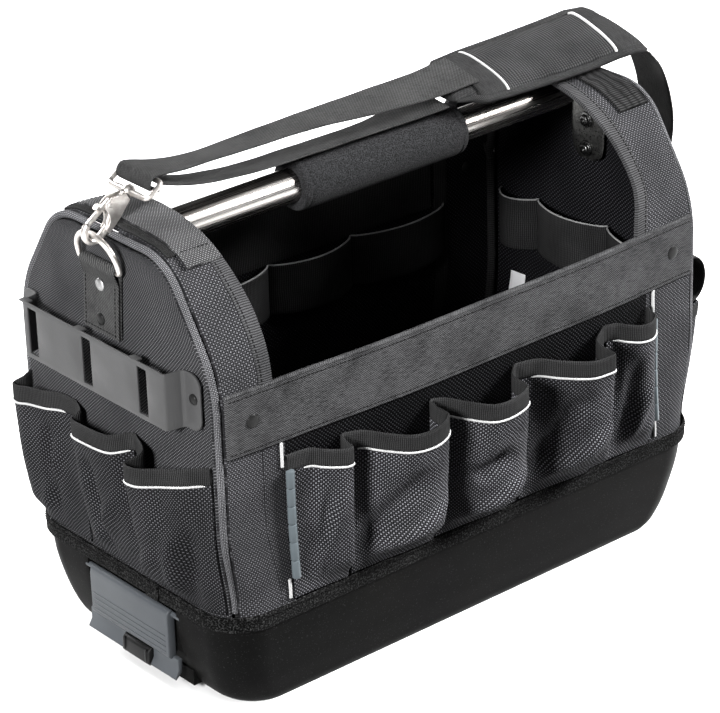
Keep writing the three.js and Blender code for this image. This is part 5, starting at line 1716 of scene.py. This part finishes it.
def build_d_ring(end):
    hook = HOOKS[end]
    bar_x = FOLD_X if end == "right" else -FOLD_X
    half = TAB_HALF_WIDTH + D_RING_SLACK + RING_WIRE
    rise = np.array([hook.x - bar_x, 0.0, hook.z - TAB_FOLD_Z])
    height = float(np.linalg.norm(rise))
    rise = rise / height
    bar_half = half - D_RING_CORNER
    bow = height - D_RING_STRAIGHT
    corner = []
    for a in np.linspace(0.2, 1.5, 6):
        corner.append((bar_half + D_RING_CORNER * math.sin(a), D_RING_CORNER - D_RING_CORNER * math.cos(a)))
    flat = [(y, 0.0) for y in np.linspace(-bar_half, bar_half, 8)] + corner
    for a in np.linspace(0, math.pi, 48):
        flat.append((half * math.cos(a), D_RING_STRAIGHT + bow * math.sin(a)))
    flat += [(-y, up) for y, up in corner[::-1]]
    path = np.array([np.array([bar_x, y, TAB_FOLD_Z]) + rise * up for y, up in flat])
    wire = cord_raw(path, RING_WIRE, 18, unit(np.cross(rise, AXIS_Y)), closed=True)
    make_fine("d_ring", wire, PLATED_LOOK, end)


SHANK_CORNER = 1.6
SHANK_CORNER_STEPS = 5


def rounded_ring(x, low, high, half):
    """A rounded rectangle across the hook's shank."""
    radius = min(SHANK_CORNER, half, (high - low) / 2) * 0.95
    ring = []
    for quarter, (sy, z) in enumerate(((1, high), (-1, high), (-1, low), (1, low))):
        centre_z = z - radius if z == high else z + radius
        for i in range(SHANK_CORNER_STEPS):
            angle = math.pi / 2 * (quarter + i / (SHANK_CORNER_STEPS - 1))
            y = sy * (half - radius) + radius * math.cos(angle)
            ring.append((x, y, centre_z + radius * math.sin(angle)))
    return ring


# A snap hook in its own frame: the D-ring's wire at the origin, x towards the strap, z towards the gate
CHEEK_OUTLINE = [
    (35, -3.4), (35, 3.4), (29.5, 6.6), (26, 9), (19.5, 9), (17.4, 7), (17.2, 3.6), (16.6, 0.6),
    (14.6, -2.4), (11.6, -4.2), (8.8, -4.6), (8.8, -9.2), (22, -7.2),
]
CHEEK_FROM = 2.5
CHEEK_TO = 3.9
BOW_X = 2.3
BOW_R = 7.2
BOW_START = [(15, -5.6), (8.5, -7)]
BOW_DEGREES = (-90, -125, -160, -195, -230, -263)
BOW_TIP = [(0, -0.6), (1.6, -0.5), (2.4, 0), (1.6, 0.5), (0, 0.6)]
SHANK_ROWS = [  # x, low, high, half width
    (12, -8, -2.5, 2.6),
    (18, -7.4, 1.5, 2.6),
    (22, -6.6, 4.4, 2.6),
    (28, -5, 4.6, 2.6),
    (34.5, -3, 3, 2.6),
]
SWIVEL = [(0, -4.5), (2.2, -4.5), (2.2, 4.5), (0, 4.5)]
SWIVEL_HEAD = [(0, -0.8), (3.3, -0.8), (3.3, 0.4), (2.7, 0.8), (0, 0.8)]
PIVOT_HEAD = [(0, 0), (2.1, 0), (1.8, 0.6), (0.8, 0.75), (0, 0.5)]
PIVOT_X = 22.0
PIVOT_Z = 6.2
GATE_ROWS = [(2.2, 1.5), (12, 1.5), (20, 1.4), (25, 1.2)]  # x, half height
GATE_HALF_WIDTH = 2.1
KNOB = [(0, -2), (1.9, -2), (2.2, 0.4), (2.6, 1.6), (2.3, 2), (0, 2)]
KNOB_X = 14.5
KNOB_RISE = 3.0
COLLAR = [(2.4, -2.3), (4.1, -2.3), (4.5, -1.6), (4.5, 1.6), (4.1, 2.3), (2.4, 2.3)]
RING_CORNER = 3.0
RING_SWELL = 0.35  # how much thicker the near bar is at the swivel
RING_SWELL_HALF = 15.0


def hook_object(name, parts, hook):
    return plain_object(name, [placed(part, hook) for part in parts])


def build_hook(end):
    hook = HOOKS[end]
    bow = list(BOW_START)
    for angle in np.radians(BOW_DEGREES):
        bow.append((BOW_X + BOW_R * math.cos(angle), BOW_R * math.sin(angle)))
    core = hook_object("core", [
        sweep_raw(in_middle(spline(bow, 6)), round_section(2.7, 2.5, 18), AXIS_Y),
        lathe_raw(BOW_TIP, (1.4, 0, 7.1), (1, 0, 0.1), 18),
        loft_raw([rounded_ring(*row) for row in spline(SHANK_ROWS, 5)]),
        lathe_raw(SWIVEL, (38, 0, 0), RIGHT_OUT, 24),
        lathe_raw(SWIVEL_HEAD, (42, 0, 0), RIGHT_OUT, 24),
    ], hook)
    cheek_sides = [sorted((side * CHEEK_FROM, side * CHEEK_TO)) for side in (-1, 1)]
    cheeks = hook_object("cheeks", [prism_raw(CHEEK_OUTLINE, *sides) for sides in cheek_sides], hook)
    add_bevel(cheeks, 0.5)
    apply_modifiers(cheeks)
    pins = hook_object("pins", [
        lathe_raw(PIVOT_HEAD, (PIVOT_X, side * CHEEK_TO, PIVOT_Z), (0, side, 0), 20) for side in (-1, 1)
    ], hook)
    body = joined("hook_body_fine_" + end, [core, cheeks, pins])
    finish_piece(body, PLATED_LOOK, ["hook_body_" + end], smooth=40)

    rings = []
    for x, half in spline(GATE_ROWS, 5):
        rings.append(rounded_ring(x, GATE_Z - half, GATE_Z + half, GATE_HALF_WIDTH))
    knob = lathe_raw(KNOB, (KNOB_X, 0, GATE_Z + KNOB_RISE), UP_OUT, 20)
    gate = hook_object("hook_gate_fine_" + end, [loft_raw(rings), knob], hook)
    finish_piece(gate, PLATED_LOOK, ["hook_gate_" + end], "gate_" + end, smooth=40)
    build_strap_ring(end, hook)


def build_strap_ring(end, hook):
    near_x = RING_NEAR + RING_CORNER
    far_x = RING_FAR - RING_CORNER
    side_y = RING_HALF_WIDTH - RING_CORNER
    path = []
    corners = ((near_x, -side_y, 180), (far_x, -side_y, 270), (far_x, side_y, 0), (near_x, side_y, 90))
    for x, y, start in corners:
        for angle in np.radians(start + np.linspace(0, 90, 7)):
            path.append((x + RING_CORNER * math.cos(angle), y + RING_CORNER * math.sin(angle), 0))
    path = resample(np.vstack([path, path[:1]]), 1.5)[:-1]
    swell = np.clip(1.0 - np.abs(path[:, 1]) / RING_SWELL_HALF, 0.0, 1.0) ** 0.5
    swell = (path[:, 0] < RING_NEAR + 1.0) * swell
    sections = round_section(RING_BAR, RING_BAR, 14)[None] * (1.0 + RING_SWELL * swell[:, None, None])
    loop = sweep_raw(path, sections, UP_OUT, closed=True)
    collar = lathe_raw(COLLAR, (RING_NEAR, 0, 0), RIGHT_OUT, 24)
    ring = hook_object("hook_ring_fine_" + end, [loop, collar], hook)
    finish_piece(ring, PLATED_LOOK, ["hook_ring_" + end], smooth=45)


def wrap_rows(end, start, stop, radius=RING_BAR + 0.4 + WEBBING / 2, pulled=0.0):
    """Webbing turned round a strap ring's far bar, its middle pulled towards the hook."""
    hook = HOOKS[end]
    angle = math.radians(hook.angle)
    reach = RING_FAR - pulled
    bar_x, bar_z = hook.x + reach * math.cos(angle), hook.z + reach * math.sin(angle)
    turns = np.radians(np.linspace(start, stop, 7))
    return [(bar_x + radius * math.cos(a), 0, bar_z + radius * math.sin(a), 0) for a in turns]


SCALLOP = 0.22  # how far the weave's loops stand out along a strap's edges
SCALLOP_PITCH = 2.4
STRAP_EDGE = 2.0
STRAP_CUP = 0.5


def strap_raw(rows):
    """Webbing along rows of a place and a sideways tilt, its edges scalloped by the weave."""
    curve = resample(spline(rows, 10), 0.6)
    path = curve[:, :3]
    tilt = np.radians(curve[:, 3])
    base = strip_section(STRAP_HALF_WIDTH, WEBBING / 2, 9)
    along = arc_lengths(path)
    scallop = SCALLOP * np.sin(2 * math.pi * along / SCALLOP_PITCH)
    sections = np.repeat(base[None], len(path), axis=0)
    edge = np.abs(base[:, 0]) > STRAP_HALF_WIDTH - STRAP_EDGE
    sections[:, edge, 0] += np.sign(base[edge, 0])[None] * scallop[:, None]
    cup = STRAP_CUP * (base[:, 0] / STRAP_HALF_WIDTH) ** 2
    sway = waver(along, 8, 3, 150.0)[:, None]
    sections[..., 1] += cup[None] * sway * smoothstep(along, 25.0, 60.0)[:, None] * 0.6
    return sweep_raw(path, sections, stacked(0.0, np.cos(tilt), np.sin(tilt)))


def build_straps():
    rows = {
        "strap_upper": wrap_rows("left", 290, 100, 5.6, 2.2) + STRAP_UPPER_ROWS,
        "strap_lower": STRAP_LOWER_ROWS,
        "strap_right": STRAP_RIGHT_ROWS + wrap_rows("right", -20, 180),
    }
    for name, strap_rows in rows.items():
        make_fine(name, strap_raw(strap_rows), STRAP_LOOK, smooth=60)


# Shoulder pad

PAD_BAND_X = ((91.0, 113.0), (224.0, 240.0))
PAD_PIPING_X = (115.0, 222.5)
PAD_EDGE = 0.97  # share of the half width where the cover is sewn
PAD_SLACK = 0.82  # share of its height that the cover has before it swells
PAD_VOXEL = 4.0
PAD_PINNED_ACROSS = 0.86
PAD_PINNED_X = (92.0, 244.0)
PAD_PINNED_SEAM = 3.0
PAD_PRESSURE = 4.0
PAD_SWELL = 3.0
PAD_MESH_FACING = -0.35  # faces that look further down have the mesh
PAD_BINDING_X = (72.0, 258.0)
PAD_BINDING_HALF = (3.4, 2.9)
PAD_BINDING_TAPER = (-3.0, 14.0)
PAD_TRIM_ACROSS = 0.93
PAD_BAND_CLEAR = 0.2
PAD_BAND_THICKNESS = 1.3
PAD_PIPING_CLEAR = 0.7
PAD_PIPING_R = 1.1
SIMULATED_FRAMES = 20


def pad_frame(x):
    """Middle height, half width, half height and tilt of the pad at a place along it."""
    rows = np.array(PAD_ROWS)
    return [np.interp(x, rows[:, 0], rows[:, k]) for k in (1, 2, 3, 4)]


def pad_place(x, across, through):
    """A place on the pad: across from -1 to 1, through in millimetres above its middle."""
    z, half_width, _, tilt = pad_frame(x)
    cos, sin = np.cos(np.radians(tilt)), np.sin(np.radians(tilt))
    y = across * half_width
    return stacked(x, y * cos - through * sin, z + y * sin + through * cos)


def pad_crown(x, across):
    """How far the sewn cover stands above the pad's middle."""
    half_height = pad_frame(x)[2]
    return half_height * np.clip(1.0 - np.abs(across) ** 2.6, 0.0, 1.0) ** 0.55


def inflate(obj, pinned):
    """Swells a closed cover by cloth simulation, no point moving further than PAD_SWELL."""
    group = obj.vertex_groups.new(name="seams")
    group.add(pinned, 1.0, "REPLACE")
    cloth = obj.modifiers.new("cover", "CLOTH")
    cloth.settings.quality = 6
    cloth.settings.mass = 0.2
    cloth.settings.use_pressure = True
    cloth.settings.uniform_pressure_force = PAD_PRESSURE
    cloth.settings.vertex_group_mass = "seams"
    cloth.settings.effector_weights.gravity = 0.0
    cloth.point_cache.frame_start = 1
    cloth.point_cache.frame_end = SIMULATED_FRAMES
    before = vertex_places(obj)
    for number in range(1, SIMULATED_FRAMES + 1):
        bpy.context.scene.frame_set(number)
    after = vertex_places(obj.evaluated_get(bpy.context.evaluated_depsgraph_get()))
    obj.modifiers.clear()
    obj.vertex_groups.clear()
    move = after - before
    length = np.linalg.norm(move, axis=1, keepdims=True)
    move *= np.minimum(1.0, PAD_SWELL * MM / np.maximum(length, 1e-9))
    obj.data.vertices.foreach_set("co", (before + move).ravel())
    bpy.context.scene.frame_set(1)


def build_pad():
    turn = np.linspace(0, 2 * math.pi, 36, endpoint=False)
    across = np.cos(turn)
    side = np.sign(np.sin(turn)) * PAD_SLACK
    rings = []
    for x in np.linspace(PAD_ROWS[0][0] + 1.5, PAD_ROWS[-1][0] - 1.0, 48):
        rings.append(pad_place(x, across * PAD_EDGE, side * pad_crown(x, across)))
    obj = plain_object("shoulder_pad_fine", loft_raw(rings))
    remesh = obj.modifiers.new("cover", "REMESH")
    remesh.mode = "VOXEL"
    remesh.voxel_size = PAD_VOXEL * MM
    apply_modifiers(obj)
    x, y, _ = vertex_places(obj).T / MM
    pinned = np.abs(y) / pad_frame(x)[1] > PAD_PINNED_ACROSS
    pinned |= (x < PAD_PINNED_X[0]) | (x > PAD_PINNED_X[1])
    for seam in PAD_PIPING_X:
        pinned |= np.abs(x - seam) < PAD_PINNED_SEAM
    inflate(obj, np.flatnonzero(pinned).tolist())
    fine = obj.modifiers.new("fine", "SUBSURF")
    fine.levels = 1
    fine.render_levels = 1
    apply_modifiers(obj)
    write_weave(obj.data, vertex_places(obj)[:, :2])
    add_materials(obj, PAD_LOOK, MESH_LOOK, PAD_TRIM_LOOK)
    for face in obj.data.polygons:
        narrow = not PAD_BAND_X[0][0] * MM < face.center.x < PAD_BAND_X[1][1] * MM
        face.material_index = 2 if narrow else int(face.normal.z < PAD_MESH_FACING)
    finish_piece(obj, PAD_LOOK, ["shoulder_pad"], smooth=80)
    build_pad_trim(obj)


def on_pad(pad, x, across, clear):
    """Places on the top of the finished pad, by casting down onto it."""
    found = []
    for px, pa in zip(np.ravel(x), np.ravel(across)):
        start = pad_place(px, pa, 30.0) * MM
        end = pad_place(px, pa, 0.0) * MM
        direction = Vector(end - start).normalized()
        hit, place, normal, _ = pad.ray_cast(Vector(start), direction)
        if not hit:
            place, normal = Vector(end), -direction
        found.append(np.array(place + normal * clear * MM) / MM)
    return np.array(found).reshape(*np.shape(x), 3)


def build_pad_trim(pad):
    across = np.linspace(-PAD_TRIM_ACROSS, PAD_TRIM_ACROSS, 27)
    for i, (from_x, to_x) in enumerate(PAD_BAND_X):
        x, a = np.meshgrid(np.linspace(from_x, to_x, 9), across, indexing="ij")
        band = sheet_raw(on_pad(pad, x, a, PAD_BAND_CLEAR), PAD_BAND_THICKNESS, 0.0, UP_OUT)
        make(f"pad_band_{i + 1}", band, PAD_TRIM_LOOK, smooth=60)
        path = on_pad(pad, np.full_like(across, PAD_PIPING_X[i]), across, PAD_PIPING_CLEAR)
        make(f"pad_piping_{i + 1}", cord_raw(path, PAD_PIPING_R, 10, RIGHT_OUT), WHITE_LOOK)
    x = np.linspace(*PAD_BINDING_X, 94)
    from_end = np.minimum(x - PAD_BINDING_X[0], PAD_BINDING_X[1] - x)
    taper = lerp(0.2, 1.0, smoothstep(from_end, *PAD_BINDING_TAPER)[:, None, None])
    for side, name in ((-1, "near"), (1, "far")):
        edge = pad_place(x, side * PAD_EDGE, 0.0)
        cord = sweep_raw(edge, round_section(*PAD_BINDING_HALF, 14)[None] * taper, AXIS_Y)
        make("pad_binding_" + name, cord, PAD_TRIM_LOOK, smooth=60)


# Sheet-metal holder on the left end

CLIP_X = 240.0
CLIP_HALF = 81.0
CLIP_FOOT_X = 225.6
CLIP_FOOT_IN = 86.0
CLIP_FOOT_OUT = 100.0
CLIP_LOW_Z = 222.5
CLIP_HIGH_Z = 264.0
CLIP_SHEET = 1.5
SLOT_PITCH = 62.5
SLOT_MIDDLE = 6.4
SLOT_WIDTH = 10.0
SLOT_LOW_Z = 226.0
SLOT_HIGH_Z = 260.5
CLIP_CORNER = 9.0
CLIP_FRONT_Y = [-35.0, -25.0, 30.0, 45.0]  # further lines down the front between its slots
CLIP_HALF_LINE = [  # x, y from the front's edge round the bends to the end of a foot
    (CLIP_X, CLIP_HALF - 2.5),
    (CLIP_X - 0.6, CLIP_HALF - 0.9),
    (CLIP_X - 2.0, CLIP_HALF),
    (CLIP_FOOT_X + 2.2, CLIP_FOOT_IN - 3.4),
    (CLIP_FOOT_X + 0.6, CLIP_FOOT_IN - 2.0),
    (CLIP_FOOT_X, CLIP_FOOT_IN),
    (CLIP_FOOT_X, CLIP_FOOT_IN + 4),
    (CLIP_FOOT_X, CLIP_FOOT_IN + 7),
    (CLIP_FOOT_X, CLIP_FOOT_OUT - 4.5),
    (CLIP_FOOT_X, CLIP_FOOT_OUT - 2),
    (CLIP_FOOT_X, CLIP_FOOT_OUT - 0.6),
    (CLIP_FOOT_X, CLIP_FOOT_OUT),
]
CLIP_TAB_X = (-CLIP_X + 0.2, -CLIP_X + 6.0)
CLIP_TAB_Y = (6.0, 15.0)  # from the middle of a slot
CLIP_TAB_Z = (CLIP_HIGH_Z - 1.6, CLIP_HIGH_Z - 0.1)
CLIP_RIVET_Y = 93.0
CLIP_RIVET_Z = 246.0


def build_clip():
    slots = [SLOT_MIDDLE + k * SLOT_PITCH for k in (-1, 0, 1)]
    slot_edges = [y + side * SLOT_WIDTH / 2 for y in slots for side in (-1, 1)]
    line = [(x, -y) for x, y in CLIP_HALF_LINE[::-1]]
    line += [(CLIP_X, y) for y in sorted(slot_edges + CLIP_FRONT_Y)] + CLIP_HALF_LINE
    height = CLIP_HIGH_Z - CLIP_LOW_Z
    levels = [0.0, (SLOT_LOW_Z - CLIP_LOW_Z) / height, 0.5, (SLOT_HIGH_Z - CLIP_LOW_Z) / height, 1.0]
    verts = []
    for x, y in line:
        past = max(abs(y) - (CLIP_FOOT_OUT - CLIP_CORNER), 0.0)
        trim = CLIP_CORNER - math.sqrt(max(CLIP_CORNER**2 - past**2, 0.0))
        for level in levels:
            verts.append((-x, y, lerp(CLIP_LOW_Z + trim, CLIP_HIGH_Z - trim, level)))
    faces = []
    rows = len(levels)
    for i in range(len(line) - 1):
        middle = (line[i][1] + line[i + 1][1]) / 2
        in_slot = any(abs(middle - y) < SLOT_WIDTH / 2 for y in slots)
        for j in range(rows - 1):
            if in_slot and 0 < j < rows - 2:
                continue
            a = i * rows + j
            faces.append((a, a + rows, a + rows + 1, a + 1))
    verts = np.array(verts)
    sheet = plain_object("plate", Raw(verts, faces, verts[:, 1:]))
    thick = sheet.modifiers.new("sheet", "SOLIDIFY")
    thick.thickness = CLIP_SHEET * MM
    thick.offset = -1.0 if sheet.data.polygons[0].normal.x < 0 else 1.0
    add_bevel(sheet, 0.35, 2)
    apply_modifiers(sheet)
    low, high = CLIP_TAB_Y
    tabs = bevelled("tabs", [box_raw(*CLIP_TAB_X, y + low, y + high, *CLIP_TAB_Z) for y in slots], 0.4, 2)
    plate = joined("clip_plate_fine", [sheet, tabs])
    finish_piece(plate, CLIP_LOOK, ["clip_plate"], smooth=30)
    rivets = []
    for side in (-1, 1):
        place = (-CLIP_FOOT_X, side * CLIP_RIVET_Y, CLIP_RIVET_Z)
        rivets.append(rivet_raw(place, LEFT_OUT, 4.0, 2.0))
    make("clip_rivets", rivets, RIVET_LOOK)


LABEL_Y = (72.0, 87.0)
LABEL_Z = (104.0, 139.0)
LABEL_CLEAR = 1.0
LABEL_LIFT = 7.0  # how far its loose lower edge stands off


def build_label():
    y, z = np.meshgrid(np.linspace(*LABEL_Y, 6), np.linspace(*LABEL_Z, 14))
    loose = (LABEL_Z[1] - z) / (LABEL_Z[1] - LABEL_Z[0])
    grid = inside_right(y, z, CLOTH + (LABEL_CLEAR + LABEL_LIFT * loose**1.5))
    make("care_label", sheet_raw(grid, 0.25, 0.25, LEFT_OUT), LABEL_LOOK, smooth=60)


# Studio

FLOOR_HALF = 9.0
FLOOR_GREYS = (0.695, 0.705)


def build_studio():
    mesh = bpy.data.meshes.new("floor")
    corners = [(sx * FLOOR_HALF, sy * FLOOR_HALF, 0) for sx, sy in ((-1, -1), (1, -1), (1, 1), (-1, 1))]
    mesh.from_pydata(corners, [], [(0, 1, 2, 3)])
    floor = linked("floor", mesh)
    pale = Shader("floor", 0.7, 0.9, Specular_IOR_Level=0.0)
    pale.colour(pale.mix(pale.noise(3.0, 2.0), *FLOOR_GREYS))
    mesh.materials.append(pale.material)
    floor.visible_diffuse = False

    world = bpy.data.worlds.new("studio")
    bpy.context.scene.world = world
    world.use_nodes = True
    background = world.node_tree.nodes["Background"]
    background.inputs["Color"].default_value = (1.0, 1.0, 1.0, 1.0)
    background.inputs["Strength"].default_value = 0.05

    add_sky("sky_panel", 0.4)
    over_floor = add_sky("floor_panel", 4.5)
    only_floor = bpy.data.collections.new("only_floor")
    only_floor.objects.link(floor)
    over_floor.light_linking.receiver_collection = only_floor
    add_panel("key", (1.6, -1.25, 1.5), (0.0, 0.0, 0.15), 0.7, 0.7, 175.0)
    add_panel("fill", (-1.8, -0.66, 1.05), (-0.1, 0.0, 0.15), 0.45, 0.45, 88.0)
    add_panel("rim", (1.35, 0.9, 1.7), (0.0, 0.0, 0.3), 1.5, 0.5, 35.0)
    add_panel("back", (-0.3, 2.1, 1.2), (0.0, 0.0, 0.15), 0.8, 0.8, 95.0)


def add_sky(name, strength):
    """A wide soft light from high in front."""
    sun = bpy.data.lights.new(name, "SUN")
    sun.energy = strength
    sun.angle = math.radians(70)
    lamp = linked(name, sun)
    lamp.rotation_euler = (math.radians(25), math.radians(8), 0)
    return lamp


def add_panel(name, place, target, width, height, power):
    light = bpy.data.lights.new(name, "AREA")
    light.shape = "RECTANGLE"
    light.size = width
    light.size_y = height
    light.energy = power
    panel = linked(name, light)
    panel.location = place
    panel.rotation_euler = (Vector(target) - Vector(place)).to_track_quat("-Z", "Y").to_euler()


CAMERA_PLACE = (-1.38135, -1.67651, 1.22613)
CAMERA_AZIMUTH = -39.331
CAMERA_ELEVATION = 25.958
CAMERA_ROLL = -1.912
CAMERA_LENS = 167.37


def build_camera():
    a, e, roll = (math.radians(v) for v in (CAMERA_AZIMUTH, CAMERA_ELEVATION, CAMERA_ROLL))
    back = Vector((math.sin(a) * math.cos(e), -math.cos(a) * math.cos(e), math.sin(e)))
    right = Vector((math.cos(a), math.sin(a), 0.0))
    up = back.cross(right)
    x_axis = math.cos(roll) * right + math.sin(roll) * up
    y_axis = -math.sin(roll) * right + math.cos(roll) * up
    lens = bpy.data.cameras.new("photo")
    lens.sensor_fit = "HORIZONTAL"
    lens.sensor_width = 36.0
    lens.lens = CAMERA_LENS
    camera = linked("photo", lens)
    columns = Matrix((x_axis, y_axis, back)).transposed()
    camera.matrix_world = Matrix.Translation(CAMERA_PLACE) @ columns.to_4x4()
    bpy.context.scene.camera = camera


build_camera()
build_studio()
bpy.context.scene.view_settings.view_transform = "Standard"
build_tray()
for end_name, end_turn in END_TURNS.items():
    build_latch(end_name, end_turn)
    build_end(end_name, end_turn)
    build_ring_tab(end_name, end_turn)
    build_d_ring(end_name)
    build_hook(end_name)
build_flaps()
build_walls()
build_bottom_tape()
build_pockets()
build_inner_loops()
build_edge_strips()
build_handle()
build_straps()
build_pad()
build_clip()
build_label()
